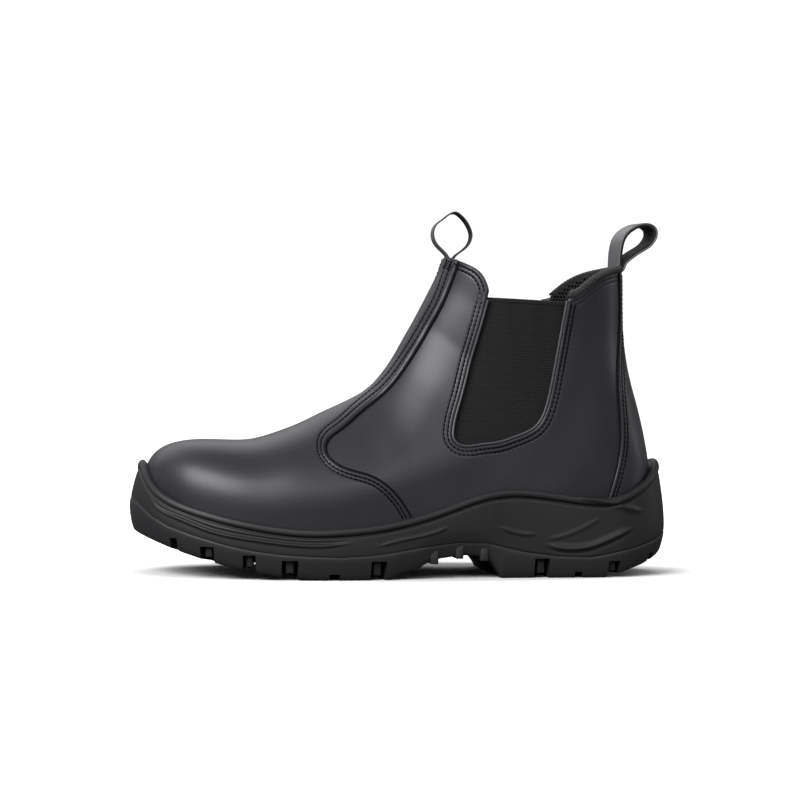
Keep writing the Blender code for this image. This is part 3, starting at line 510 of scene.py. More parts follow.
class Sheet:
    """Part of the last's surface that is cut along lines and given a thickness."""

    POSITION = slice(0, 3)
    NORMAL = slice(3, 6)
    FIELDS = 6
    NEAR = 0.02

    def __init__(self, surface: LastSurface, fields: Sequence[Array]) -> None:
        """Starts from the whole surface.

        Args:
            surface: the last.
            fields: one number per point of the last for each line that can cut it.
        """
        flat = surface.grid.reshape(-1, 3)
        normals = surface.normals.reshape(-1, 3)
        self.rows = list(np.column_stack([flat, normals, *fields]))
        self.faces = list(surface.faces)

    def split(self, column: int, level: float) -> None:
        """Cuts the faces along the line where a field has this level.

        Args:
            column: number of the field.
            level: where to cut.
        """
        near = self.NEAR
        column += self.FIELDS
        values = [row[column] - level for row in self.rows]
        made: dict[tuple[int, int], int] = {}
        faces = []
        for face in self.faces:
            side = [values[i] for i in face]
            if min(side) >= -near or max(side) <= near:
                faces.append(face)
                continue
            above, below = [], []
            for a, b in zip(face, (*face[1:], face[0])):
                if values[a] >= -near:
                    above.append(a)
                if values[a] <= near:
                    below.append(a)
                if (values[a] > near and values[b] < -near) or (values[a] < -near and values[b] > near):
                    key = (min(a, b), max(a, b))
                    if key not in made:
                        share = values[a] / (values[a] - values[b])
                        row = self.rows[a] + (self.rows[b] - self.rows[a]) * share
                        row[column] = level
                        made[key] = len(self.rows)
                        self.rows.append(row)
                    above.append(made[key])
                    below.append(made[key])
            for part in (above, below):
                if len(part) > 2:
                    faces.append(tuple(part))
        self.faces = faces

    def keep(self, column: int, level: float) -> None:
        """Splits at a level of a field and keeps what is above it.

        Args:
            column: number of the field.
            level: where to cut.
        """
        self.split(column, level)
        column += self.FIELDS
        kept = []
        for face in self.faces:
            if sum(self.rows[i][column] for i in face) / len(face) > level:
                kept.append(face)
        self.faces = kept

    def tidy(self) -> None:
        """Drops the points that no face uses."""
        used = sorted({i for face in self.faces for i in face})
        new = {old: i for i, old in enumerate(used)}
        self.rows = [self.rows[i] for i in used]
        self.faces = [tuple(new[i] for i in face) for face in self.faces]

    def closed(self, outer: Offset, inner: Offset) -> Form:
        """A closed shell between two offsets from the surface, joined along its rim.

        Args:
            outer: gives the outer offset from the rows of numbers.
            inner: gives the inner offset.

        Returns:
            The points and faces.
        """
        self.tidy()
        rows = np.array(self.rows)
        edges: dict[tuple[int, int], int] = {}
        for face in self.faces:
            for a, b in zip(face, (*face[1:], face[0])):
                key = (min(a, b), max(a, b))
                edges[key] = edges.get(key, 0) + 1
        rim = {i for key, uses in edges.items() if uses == 1 for i in key}
        place, normal = rows[:, self.POSITION], unit(rows[:, self.NORMAL])
        top = place + normal * outer(rows)[:, None]
        under = place + normal * inner(rows)[:, None]
        count = len(rows)
        points = np.vstack([top, under])
        faces = list(self.faces)
        for face in self.faces:
            faces.append(tuple(i if i in rim else i + count for i in face[::-1]))
        return points, faces


class Slot(Enum):
    """Finish slots."""

    LEATHER = "leather"
    LOOP = "loop_leather"
    ELASTIC = "elastic"
    TEXTILE = "textile"
    FOOTBED = "footbed"
    MIDSOLE = "midsole_rubber"
    OUTSOLE = "outsole_rubber"


class Kind(Enum):
    """Kinds of surface that a finish can have."""

    LEATHER = "leather"
    RUBBER = "rubber"
    WEAVE = "weave"
    THREAD = "thread"


class EffectGroups:
    """Shader effects that several finishes share, as node groups."""

    PORE_SHARE = 0.5
    PEBBLE_DETAIL = 4.0
    THREAD_DISTORTION = 0.6
    THREAD_DETAIL = 1.0
    CLOUD_DETAIL = 5.0
    FLAT_POINTINESS = 0.54
    EDGE_GAIN = 8.0

    def __init__(self) -> None:
        """Builds the groups once."""
        self.grain = self.build_grain()
        self.weave = self.build_weave()
        self.tone = self.build_tone()

    @staticmethod
    def start(name: str, inputs: dict[str, float], outputs: Sequence[str]) -> tuple[Tree, Node, Node]:
        """Starts a group.

        Args:
            name: name of the group.
            inputs: value that each input starts with.
            outputs: names of the outputs.

        Returns:
            The group, its input node and its output node.
        """
        group = bpy.data.node_groups.new(name, "ShaderNodeTree")
        kind = "NodeSocketFloat"
        for key, value in inputs.items():
            made = group.interface.new_socket(name=key, in_out="INPUT", socket_type=kind)
            made.default_value = value
        for key in outputs:
            group.interface.new_socket(name=key, in_out="OUTPUT", socket_type=kind)
        return group, group.nodes.new("NodeGroupInput"), group.nodes.new("NodeGroupOutput")

    @staticmethod
    def math(group: Tree, operation: str, first: object, second: object) -> Socket:
        """A Math node.

        Args:
            group: where the node goes.
            operation: what it does.
            first: a socket or a number.
            second: a socket or a number.

        Returns:
            Its output.
        """
        node = group.nodes.new("ShaderNodeMath")
        node.operation = operation
        for socket, value in zip(node.inputs, (first, second)):
            if isinstance(value, Socket):
                group.links.new(value, socket)
            else:
                socket.default_value = value
        return node.outputs[0]

    def build_grain(self) -> Tree:
        """Fine pores with softer pebbling, as a height and a mask of the hollows, which finishes darken as
        painted shade.

        Returns:
            The group.
        """
        inputs = {"Pore Scale": 900.0, "Pebble Scale": 160.0, "Pebble Share": 0.4}
        group, ends, out = self.start("fine_grain", inputs, ("Height", "Hollows"))
        coords = group.nodes.new("ShaderNodeTexCoord").outputs["Object"]
        pores = group.nodes.new("ShaderNodeTexVoronoi")
        pebbles = group.nodes.new("ShaderNodeTexNoise")
        pebbles.inputs["Detail"].default_value = self.PEBBLE_DETAIL
        for node, scale in ((pores, "Pore Scale"), (pebbles, "Pebble Scale")):
            group.links.new(coords, node.inputs["Vector"])
            group.links.new(ends.outputs[scale], node.inputs["Scale"])
        soft = self.math(group, "MULTIPLY", pebbles.outputs["Fac"], ends.outputs["Pebble Share"])
        fine = self.math(group, "MULTIPLY", pores.outputs["Distance"], self.PORE_SHARE)
        height = self.math(group, "ADD", fine, soft)
        hollow = self.math(group, "SUBTRACT", 1.0, pores.outputs["Distance"])
        group.links.new(height, out.inputs["Height"])
        group.links.new(hollow, out.inputs["Hollows"])
        return group

    def build_weave(self) -> Tree:
        """Crossed threads as a height, with a mask of the gaps between them, which finishes darken as painted
        shade.

        Returns:
            The group.
        """
        inputs = {"Warp Scale": 900.0, "Weft Scale": 900.0}
        group, ends, out = self.start("thread_weave", inputs, ("Height", "Gaps"))
        coords = group.nodes.new("ShaderNodeTexCoord").outputs["Object"]
        waves = []
        for direction, scale in (("X", "Warp Scale"), ("Z", "Weft Scale")):
            wave = group.nodes.new("ShaderNodeTexWave")
            wave.bands_direction = direction
            wave.inputs["Distortion"].default_value = self.THREAD_DISTORTION
            wave.inputs["Detail"].default_value = self.THREAD_DETAIL
            group.links.new(coords, wave.inputs["Vector"])
            group.links.new(ends.outputs[scale], wave.inputs["Scale"])
            waves.append(wave.outputs["Fac"])
        height = self.math(group, "MAXIMUM", waves[0], waves[1])
        group.links.new(height, out.inputs["Height"])
        group.links.new(self.math(group, "SUBTRACT", 1.0, height), out.inputs["Gaps"])
        return group

    def build_tone(self) -> Tree:
        """Slow change of tone with dust that gathers on faces that look up, and wear on edges.

        Returns:
            The group.
        """
        inputs = {"Cloud Scale": 12.0, "Cloud": 0.25, "Dust": 0.05, "Wear": 0.1}
        group, ends, out = self.start("tone_dust_wear", inputs, ("Lighter", "Rougher"))
        coords = group.nodes.new("ShaderNodeTexCoord").outputs["Object"]
        cloud = group.nodes.new("ShaderNodeTexNoise")
        cloud.inputs["Detail"].default_value = self.CLOUD_DETAIL
        group.links.new(coords, cloud.inputs["Vector"])
        group.links.new(ends.outputs["Cloud Scale"], cloud.inputs["Scale"])
        geometry = group.nodes.new("ShaderNodeNewGeometry")
        parts = group.nodes.new("ShaderNodeSeparateXYZ")
        group.links.new(geometry.outputs["Normal"], parts.inputs[0])
        upward = self.math(group, "MAXIMUM", parts.outputs["Z"], 0.0)
        settled = self.math(group, "MULTIPLY", upward, cloud.outputs["Fac"])
        dust = self.math(group, "MULTIPLY", settled, ends.outputs["Dust"])
        edge = self.math(group, "SUBTRACT", geometry.outputs["Pointiness"], self.FLAT_POINTINESS)
        edge = self.math(group, "MULTIPLY", self.math(group, "MAXIMUM", edge, 0.0), self.EDGE_GAIN)
        wear = self.math(group, "MULTIPLY", self.math(group, "MINIMUM", edge, 1.0), ends.outputs["Wear"])
        slow = self.math(group, "MULTIPLY", cloud.outputs["Fac"], ends.outputs["Cloud"])
        lighter = self.math(group, "ADD", self.math(group, "ADD", slow, dust), wear)
        group.links.new(lighter, out.inputs["Lighter"])
        group.links.new(self.math(group, "ADD", dust, slow), out.inputs["Rougher"])
        return group


@dataclass(frozen=True)
class Finish:
    """One procedural finish."""

    name: str
    kind: Kind
    dark: tuple[float, float, float]
    light: tuple[float, float, float]
    smooth: float
    rough: float
    fine_scale: float = 900.0
    coarse_scale: float = 160.0
    relief: float = 0.00008
    cloud: float = 0.35
    dust: float = 0.05
    wear: float = 0.1
    coat: float = 0.0
    sheen: float = 0.0
    shine: float = 0.5

    WOVEN = ("Warp Scale", "Weft Scale", "Gaps")
    GRAINED = ("Pore Scale", "Pebble Scale", "Hollows")
    # How much darker the hollows of the grain and the gaps of the weave are: painted shade.
    HOLLOW_PAINTED_SHADE = -0.25
    COAT_ROUGHNESS = 0.28

    def build(self, effects: EffectGroups) -> Material:
        """Builds the material.

        Args:
            effects: the shared node groups.

        Returns:
            The material.
        """
        made = bpy.data.materials.new(self.name)
        made.use_nodes = True
        tree = made.node_tree
        shader = tree.nodes["Principled BSDF"]
        woven = self.kind in (Kind.WEAVE, Kind.THREAD)
        relief = tree.nodes.new("ShaderNodeGroup")
        relief.node_tree = effects.weave if woven else effects.grain
        fine, coarse, mask = self.WOVEN if woven else self.GRAINED
        relief.inputs[fine].default_value = self.fine_scale
        relief.inputs[coarse].default_value = self.coarse_scale
        tone = tree.nodes.new("ShaderNodeGroup")
        tone.node_tree = effects.tone
        for key, value in (("Cloud", self.cloud), ("Dust", self.dust), ("Wear", self.wear)):
            tone.inputs[key].default_value = value
        mix = tree.nodes.new("ShaderNodeMix")
        mix.data_type = "RGBA"
        mix.inputs["A"].default_value = (*self.dark, 1.0)
        mix.inputs["B"].default_value = (*self.light, 1.0)
        # Hollows and gaps pull the colour towards dark: painted shade; tone, dust and wear pull it towards
        # light.
        share = tree.nodes.new("ShaderNodeMath")
        share.operation = "MULTIPLY_ADD"
        share.use_clamp = True
        share.inputs[1].default_value = self.HOLLOW_PAINTED_SHADE
        tree.links.new(relief.outputs[mask], share.inputs[0])
        tree.links.new(tone.outputs["Lighter"], share.inputs[2])
        tree.links.new(share.outputs[0], mix.inputs["Factor"])
        tree.links.new(mix.outputs["Result"], shader.inputs["Base Color"])
        rough = tree.nodes.new("ShaderNodeMapRange")
        rough.inputs["To Min"].default_value = self.smooth
        rough.inputs["To Max"].default_value = self.rough
        tree.links.new(tone.outputs["Rougher"], rough.inputs["Value"])
        tree.links.new(rough.outputs["Result"], shader.inputs["Roughness"])
        height = tree.nodes.new("ShaderNodeBump")
        height.inputs["Strength"].default_value = 1.0
        height.inputs["Distance"].default_value = self.relief
        tree.links.new(relief.outputs["Height"], height.inputs["Height"])
        tree.links.new(height.outputs["Normal"], shader.inputs["Normal"])
        shader.inputs["Coat Weight"].default_value = self.coat
        shader.inputs["Coat Roughness"].default_value = self.COAT_ROUGHNESS
        shader.inputs["Sheen Weight"].default_value = self.sheen
        shader.inputs["Specular IOR Level"].default_value = self.shine
        return made


FINISHES = (
    Finish("satin_black_leather", Kind.LEATHER, dark=(0.018, 0.0175, 0.023), light=(0.048, 0.047, 0.062),
           smooth=0.42, rough=0.52, fine_scale=1300.0, coarse_scale=260.0, relief=0.00006, coat=0.12),
    Finish("loop_leather", Kind.LEATHER, dark=(0.10, 0.10, 0.105), light=(0.20, 0.20, 0.207),
           smooth=0.38, rough=0.5, fine_scale=1500.0, coarse_scale=300.0, relief=0.00004,
           cloud=0.4, wear=0.2),
    Finish("ribbed_elastic", Kind.WEAVE, dark=(0.006, 0.006, 0.007), light=(0.016, 0.016, 0.018),
           smooth=0.75, rough=0.95, fine_scale=1500.0, coarse_scale=900.0, relief=0.00015,
           cloud=0.4, dust=0.02, wear=0.05),
    Finish("spacer_mesh", Kind.WEAVE, dark=(0.005, 0.005, 0.005), light=(0.018, 0.018, 0.019),
           smooth=0.7, rough=0.9, fine_scale=1400.0, coarse_scale=1400.0, relief=0.00012,
           cloud=0.4, dust=0.0, wear=0.05, sheen=0.1),
    Finish("collar_textile", Kind.WEAVE, dark=(0.002, 0.002, 0.003), light=(0.020, 0.019, 0.023),
           smooth=0.7, rough=0.9, fine_scale=700.0, coarse_scale=700.0, relief=0.0004,
           cloud=0.5, dust=0.03, sheen=0.2),
    Finish("loop_webbing", Kind.WEAVE, dark=(0.008, 0.008, 0.009), light=(0.03, 0.03, 0.032),
           smooth=0.7, rough=0.9, fine_scale=1000.0, coarse_scale=1000.0, relief=0.0002, cloud=0.4, dust=0.0),
    Finish("sewing_thread", Kind.THREAD, dark=(0.0015, 0.0015, 0.002), light=(0.004, 0.004, 0.005),
           smooth=0.8, rough=0.95, fine_scale=2600.0, coarse_scale=2600.0, relief=0.00005, shine=0.12),
    # Nearly black tubes along the vamp's and back stay's edges: the dyed cut edge, and painted shade in the
    # step beside it.
    Finish("dyed_edge_and_painted_shade", Kind.LEATHER, dark=(0.002, 0.002, 0.003), light=(0.006, 0.006, 0.008),
           smooth=0.7, rough=0.9, fine_scale=1800.0, coarse_scale=600.0, relief=0.0001, shine=0.15),
    # A lighter copy of the black leather for the fold round the elastic's opening: a painted highlight.
    Finish("folded_edge_painted_highlight", Kind.LEATHER, dark=(0.05, 0.05, 0.055), light=(0.11, 0.11, 0.118),
           smooth=0.4, rough=0.5, fine_scale=1500.0, coarse_scale=300.0, relief=0.00004, cloud=0.4, wear=0.2),
    # Nearly black, for blobs in the needle holes and in the collar mesh's holes: painted shade.
    Finish("needle_hole_painted_shade", Kind.LEATHER, dark=(0.002, 0.002, 0.002), light=(0.005, 0.005, 0.005),
           smooth=0.9, rough=1.0, shine=0.0),
    Finish("footbed_cloth", Kind.WEAVE, dark=(0.01, 0.01, 0.011), light=(0.03, 0.03, 0.032),
           smooth=0.8, rough=0.95, fine_scale=900.0, coarse_scale=900.0, relief=0.0002, cloud=0.4, sheen=0.1),
    Finish("moulded_midsole", Kind.RUBBER, dark=(0.010, 0.009, 0.0105), light=(0.030, 0.027, 0.031),
           smooth=0.5, rough=0.66, fine_scale=2200.0, coarse_scale=700.0, relief=0.00004,
           dust=0.06, wear=0.15),
    Finish("rubber_outsole", Kind.RUBBER, dark=(0.015, 0.013, 0.015), light=(0.046, 0.041, 0.046),
           smooth=0.55, rough=0.75, fine_scale=1500.0, coarse_scale=900.0, relief=0.0001,
           cloud=0.4, dust=0.06, wear=0.2),
)


@dataclass
class Seam:
    """Rows of stitches beside a side view line."""

    line: Array
    rows: tuple[float, ...]
    lift: float
    low_z: float = 30.0


@dataclass(frozen=True)
class Edge:
    """Sizes of a fine round edge: shift along the leather, lift off it, and radius."""

    shift: float
    lift: float
    radius: float


@dataclass
class Upper:
    """Quarters, vamp and back stay, cut from the last and laid on each other."""

    surface: LastSurface
    vamp_rows: tuple[float, float] = (2.3, 4.2)
    notch_rows: tuple[float, float] = (2.4, 4.7)
    feather_rise: float = 4.9
    groove: float = 0.22
    edge_swell: float = 0.14
    row_swell: float = 0.06
    fields: list[Array] = field(init=False)
    vamp_line: Array = field(init=False)
    stay_line: Array = field(init=False)
    notch_line: Array = field(init=False)
    collar_line: Array = field(init=False)
    collar_roof: Array = field(init=False)
    feather_line: Array = field(init=False)

    VAMP, STAY, NOTCH, COLLAR, FEATHER, EDGE = range(6)
    TACK_ROWS = (0.0, 1.3, 2.6, 3.9)
    NOTCH_SEWN_TO = 153.0
    NOTCH_FOLDED_TO = 155.5
    ROW_WIDTH = 0.55
    ROW_REACH = 0.7
    SWELL_WIDTH = 0.6
    # Shares of an edge's radius at which its curve needs points.
    EDGE_STEPS = (0.12, 0.4, 1.0)
    SOFT_FROM_EDGE = 9.0
    OVERLAY_EDGE_SHARE = 0.8
    COLLAR_WEIGHT = 1.3
    UNDER_REACH = 3.0
    SUNK = 0.1
    UNDER_HOLLOW = 0.25
    # Creases across the flexed vamp: x, z, lean and depth.
    CREASES = ((-34.0, 90.0, 0.55, -0.14), (-17.0, 96.0, 0.6, -0.10))
    CREASE_WIDTH = 9.0
    # The hollow behind the ankle: x, z, lean, depth and width.
    ANKLE = (96.0, 110.0, -0.3, -0.45, 9.0)
    # Heights at which the soft shape and the ankle's hollow start, and over which they grow.
    SOFT_RISE = (45.0, 15.0)
    ANKLE_RISE = (70.0, 30.0)
    WAVE_SHARE = 0.5

    def __post_init__(self) -> None:
        """Measures every point of the last from the pattern lines."""
        flat = self.surface.grid.reshape(-1, 3)
        x, z = flat[:, 0], flat[:, 2]
        self.vamp_line = smooth_line(VAMP_EDGE, 170)
        self.stay_line = smooth_line(BACK_STAY_EDGE, 80)
        self.notch_line = smooth_line(GORE_NOTCH, 170)
        front = smooth_line(COLLAR_FRONT, 40)
        back = smooth_line(COLLAR_BACK, 50)
        end = [(FAR_BACK, COLLAR_BACK[-1][1])]
        roof = [COLLAR_BETWEEN[0], (COLLAR_BETWEEN[1][0], COLLAR_BACK[0][1])]
        self.collar_line = np.vstack([COLLAR_ENDS, front, COLLAR_BETWEEN, back, end])
        self.collar_roof = np.vstack([COLLAR_ENDS, front, roof, back, end])
        high, low = (-FAR_BACK, VAMP_EDGE[0][1]), (-FAR_BACK, VAMP_EDGE[-1][1])
        vamp = np.vstack([high, self.vamp_line, low])
        behind = [(FAR_BACK, BACK_STAY_EDGE[-1][1]), (FAR_BACK, BACK_STAY_EDGE[0][1])]
        stay = np.vstack([self.stay_line, behind])
        over = np.vstack([self.collar_line, [(FAR_BACK, FAR_ABOVE), (-FAR_BACK, FAR_ABOVE)]])
        foot = [row[2:4] for row in LAST[FIRST_SIDE_ROW:] if row[3] < FOOT_TOP]
        self.feather_line = np.array(foot)
        feather = self.feather_line + (0.0, self.feather_rise)
        vamp_d = distance_to(self.vamp_line, x, z) * np.where(inside(vamp, x, z), 1, -1)
        stay_d = distance_to(self.stay_line, x, z) * np.where(inside(stay, x, z), 1, -1)
        notch_d = distance_to(self.notch_line, x, z) * np.where(inside(self.notch_line, x, z), -1, 1)
        collar_d = distance_to(self.collar_line, x, z) * np.where(inside(over, x, z), -1, 1)
        feather_d = z - np.interp(x, feather[:, 0], feather[:, 1])
        edge = np.minimum(notch_d, collar_d)
        self.fields = [vamp_d, stay_d, notch_d, collar_d, feather_d, edge]

    def column(self, rows: Array, name: int) -> Array:
        """One of the measured fields in rows of numbers."""
        return rows[:, Sheet.FIELDS + name]

    def soft_shape(self, rows: Array) -> Array:
        """Soft hollows and swells of worn-in leather over the last.

        Args:
            rows: rows of numbers of a sheet.

        Returns:
            Height of the leather at each row.
        """
        x, y, z = rows[:, 0], rows[:, 1], rows[:, 2]
        fade, grow = (np.clip((z - low) / over, 0, 1) for low, over in (self.SOFT_RISE, self.ANKLE_RISE))
        width = self.CREASE_WIDTH
        flex = sum(deep * bump(x - x0 + lean * (z - z0), width) for x0, z0, lean, deep in self.CREASES)
        # Waves of the leather, slow ones and quick ones.
        slow = 0.35 * np.sin(x * 0.071 + z * 0.05) * np.sin(y * 0.06 + 0.7)
        quick = 0.2 * np.sin(x * 0.17 - z * 0.11 + y * 0.05)
        x0, z0, lean, deep, width = self.ANKLE
        ankle = deep * bump(x - x0 + lean * (z - z0), width) * grow
        return (flex * (x < 0) + self.WAVE_SHARE * (slow + quick) + ankle) * fade

    def rows_relief(self, distance: Array, rows: Sequence[float]) -> Array:
        """Grooves where thread pulls the leather in, with a swell between edge and first row.

        Args:
            distance: from the edge of the piece.
            rows: distance of each row of stitches.

        Returns:
            Height of the leather at each distance.
        """
        relief = self.edge_swell * bump(distance - rows[0] * 0.5, rows[0] * 0.35)
        for row in rows:
            relief -= self.groove * bump(distance - row, self.ROW_WIDTH)
        return relief + self.row_swell * bump(distance - (rows[0] + rows[1]) / 2, self.SWELL_WIDTH)

    def levels(self, rows: Sequence[float], radius: float) -> list[float]:
        """Levels of distance at which a seam's surface needs points.

        Args:
            rows: distance of each row of stitches.
            radius: of the rounded edge.

        Returns:
            The levels.
        """
        wanted = [share * radius for share in self.EDGE_STEPS]
        for row in rows:
            wanted.extend((row - self.ROW_REACH, row, row + self.ROW_REACH))
        return wanted + [rows[-1] + 2 * self.ROW_REACH]

    def build_shell(self, finish: Material) -> None:
        """The quarters with the lining behind them, open at the collar and the elastic.

        Args:
            finish: the leather.
        """
        sheet = Sheet(self.surface, self.fields)
        sheet.keep(self.FEATHER, 0.0)
        sheet.keep(self.COLLAR, 0.0)
        sheet.keep(self.NOTCH, 0.0)
        for level in self.levels(self.notch_rows, LEATHER / 2):
            sheet.split(self.EDGE, level)

        def open_edge(rows: Array) -> Array:
            """Distance from the collar or the elastic's opening."""
            return np.minimum(self.column(rows, self.NOTCH), self.column(rows, self.COLLAR))

        def outer(rows: Array) -> Array:
            """Outer face of the quarters."""
            edge = open_edge(rows)
            relief = self.rows_relief(edge, self.notch_rows)
            seam = (rolled(edge, LEATHER / 2) - 1) * LEATHER / 2
            soft = self.soft_shape(rows) * rolled(edge, self.SOFT_FROM_EDGE)
            return seam + relief * rolled(edge, 1.0) + soft

        def inner(rows: Array) -> Array:
            """Face of the lining."""
            return -LEATHER / 2 - rolled(open_edge(rows), LEATHER / 2) * LEATHER / 2

        shell = mesh_piece("leather_quarters", sheet.closed(outer, inner), finish)
        ride(shell, Slot.LEATHER.value, "upper")

    def build_overlay(self, name: str, column: int, finish: Material) -> None:
        """A pattern piece laid on the quarters: the vamp or the back stay.

        Args:
            name: name of the piece.
            column: field of its free edge.
            finish: its material.
        """
        sheet = Sheet(self.surface, self.fields)
        sheet.keep(self.FEATHER, 0.0)
        sheet.keep(column, 0.0)
        sheet.keep(self.COLLAR, 0.0)
        for level in self.levels(self.vamp_rows, OVERLAY):
            sheet.split(column, level)

        def outer(rows: Array) -> Array:
            """Outer face of the overlay."""
            collar = self.column(rows, self.COLLAR) * self.COLLAR_WEIGHT
            edge = np.minimum(self.column(rows, column), collar)
            relief = self.rows_relief(self.column(rows, column), self.vamp_rows)
            curve = rolled(edge, OVERLAY * self.OVERLAY_EDGE_SHARE)
            wall = (OVERLAY + self.SUNK) * curve - self.SUNK
            return wall + relief * rolled(edge, 1.0) + self.soft_shape(rows)

        def inner(rows: Array) -> Array:
            """Under face of the overlay."""
            hollow = self.UNDER_HOLLOW * rolled(self.column(rows, column), self.UNDER_REACH)
            return self.soft_shape(rows) - self.SUNK - hollow

        ride(mesh_piece(name, sheet.closed(outer, inner), finish), Slot.LEATHER.value)

    def seams(self) -> list[Seam]:
        """Every seam with rows of stitches.

        Returns:
            The seams.
        """
        notch = self.notch_line[self.notch_line[:, 1] < self.NOTCH_SEWN_TO]
        corner = np.vstack([smooth_line(COLLAR_FRONT, 40)[6:], notch])
        return [
            Seam(self.vamp_line, self.vamp_rows, OVERLAY),
            Seam(self.stay_line, tuple(-r for r in self.vamp_rows), OVERLAY, 34.0),
            Seam(corner, self.notch_rows, 0.0),
            Seam(smooth_line(LOOP_TACK, 12), self.TACK_ROWS, OVERLAY),
        ]


@dataclass
class Stitches:
    """Rows of sewing thread, with nearly black blobs sunk at their needle holes as painted shade."""

    surface: LastSurface
    collar: Array
    pitch: float = 2.6
    thread_length: float = 1.7
    thread_width: float = 1.1
    thread_height: float = 0.5
    thread_lift: float = -0.06
    hole_width: float = 0.8
    hole_height: float = 0.3
    hole_lift: float = -0.17
    collar_clear: float = 1.8
    edge_clear: float = 0.6
    edge_pitch: float = 0.8
    around: int = 8
    rings: int = 5

    SHORTEST_RUN = 4
    BLUNTNESS = 0.6
    EDGE_AROUND = 9
    SIDEWAYS = 0.15
    EDGE_SIDEWAYS = 0.1
    FOOT = 27.0

    def blob(self, length: float, width: float, height: float) -> Form:
        """A small rounded form along X, for one stitch or one hole.

        Args:
            length: size along X.
            width: size along Y.
            height: size along Z.

        Returns:
            The form.
        """
        angles = np.linspace(0, np.pi, self.rings + 2)[1:-1]
        turn = np.linspace(0, 2 * np.pi, self.around, endpoint=False)
        rings = []
        for a in angles:
            reach = math.sin(a) ** self.BLUNTNESS / 2
            x = -math.cos(a) * length / 2
            rings.append([(x, math.cos(t) * width * reach, math.sin(t) * height * reach) for t in turn])
        points, faces = closed_grid(np.array(rings))
        points[-2] = (-length / 2, 0, 0)
        points[-1] = (length / 2, 0, 0)
        return points, faces

    def places(self, seam: Seam, side: int) -> list[tuple[Array, Array, Array, float]]:
        """Where each stitch of a seam sits.

        Args:
            seam: the seam.
            side: -1 for the outer side of the boot, 1 for the inner.

        Returns:
            Place, direction, normal and lift of each stitch.
        """
        found = []
        for row in seam.rows:
            runs: list[list[Array]] = [[]]
            for x, z in evenly(sideways(seam.line, row), self.pitch / 3):
                roof = height_on(self.collar, x) - self.collar_clear
                hit = self.surface.at(side, float(x), float(z))
                if seam.low_z < z < roof and hit is not None and abs(hit[1][1]) > self.SIDEWAYS:
                    runs[-1].append(np.concatenate([hit[0], hit[1]]))
                elif runs[-1]:
                    runs.append([])
            for run in runs:
                if len(run) < self.SHORTEST_RUN:
                    continue
                both = evenly(np.array(run), self.pitch)
                places = both[:, :3]
                ahead = unit(np.gradient(places, axis=0))
                lifts = [seam.lift] * len(both)
                found.extend(zip(places, ahead, unit(both[:, 3:]), lifts))
        return found

    def edging(self, name: str, line: Array, edge: Edge, finish: Material) -> None:
        """A fine round edge along a side view line, on both sides of the boot.

        Args:
            name: name of the piece.
            line: the side view line.
            edge: its sizes.
            finish: its material.
        """
        forms = []
        for side in (-1, 1):
            path, normals = [], []
            for x, z in evenly(sideways(line, edge.shift), self.edge_pitch):
                roof = height_on(self.collar, x) - self.edge_clear
                hit = self.surface.at(side, float(x), float(z))
                if self.FOOT < z < roof and hit is not None and abs(hit[1][1]) > self.EDGE_SIDEWAYS:
                    path.append(hit[0] + hit[1] * edge.lift)
                    normals.append(hit[1])
            across = np.cross(normals, unit(np.gradient(np.array(path), axis=0)))
            turns = np.linspace(0, 2 * np.pi, self.EDGE_AROUND, endpoint=False)
            rings = [ring(p, a, n, edge.radius, turns) for p, a, n in zip(path, across, normals)]
            forms.append(closed_grid(np.array(rings)))
        ride(mesh_piece(name, joined(forms), finish), Slot.LEATHER.value)

    def build(self, seams: Sequence[Seam], thread: Material, hole: Material) -> None:
        """Sews every seam on both sides of the boot.

        Args:
            seams: the seams.
            thread: material of the thread.
            hole: material of the blobs at the needle holes, a painted shade.
        """
        stitch = self.blob(self.thread_length, self.thread_width, self.thread_height)
        hole_shade_blob = self.blob(self.hole_width, self.hole_width, self.hole_height)
        for side, label in ((-1, "outer"), (1, "inner")):
            placed = [p for seam in seams for p in self.places(seam, side)]
            for name, form, shift, lift, finish in (
                ("threads", stitch, 0.0, self.thread_lift, thread),
                # Dark blobs between the stitches: painted shade in the needle holes.
                ("needle_hole_painted_shades", hole_shade_blob, self.pitch / 2, self.hole_lift, hole),
            ):
                forms = []
                for place, step, normal, height in placed:
                    across = np.cross(normal, step)
                    turned = form[0] @ np.array([step, across, np.cross(step, across)])
                    moved = place + step * shift + normal * (height + lift)
                    forms.append((turned + moved, form[1]))
                ride(mesh_piece(f"{name}_{label}", joined(forms), finish), Slot.LEATHER.value)


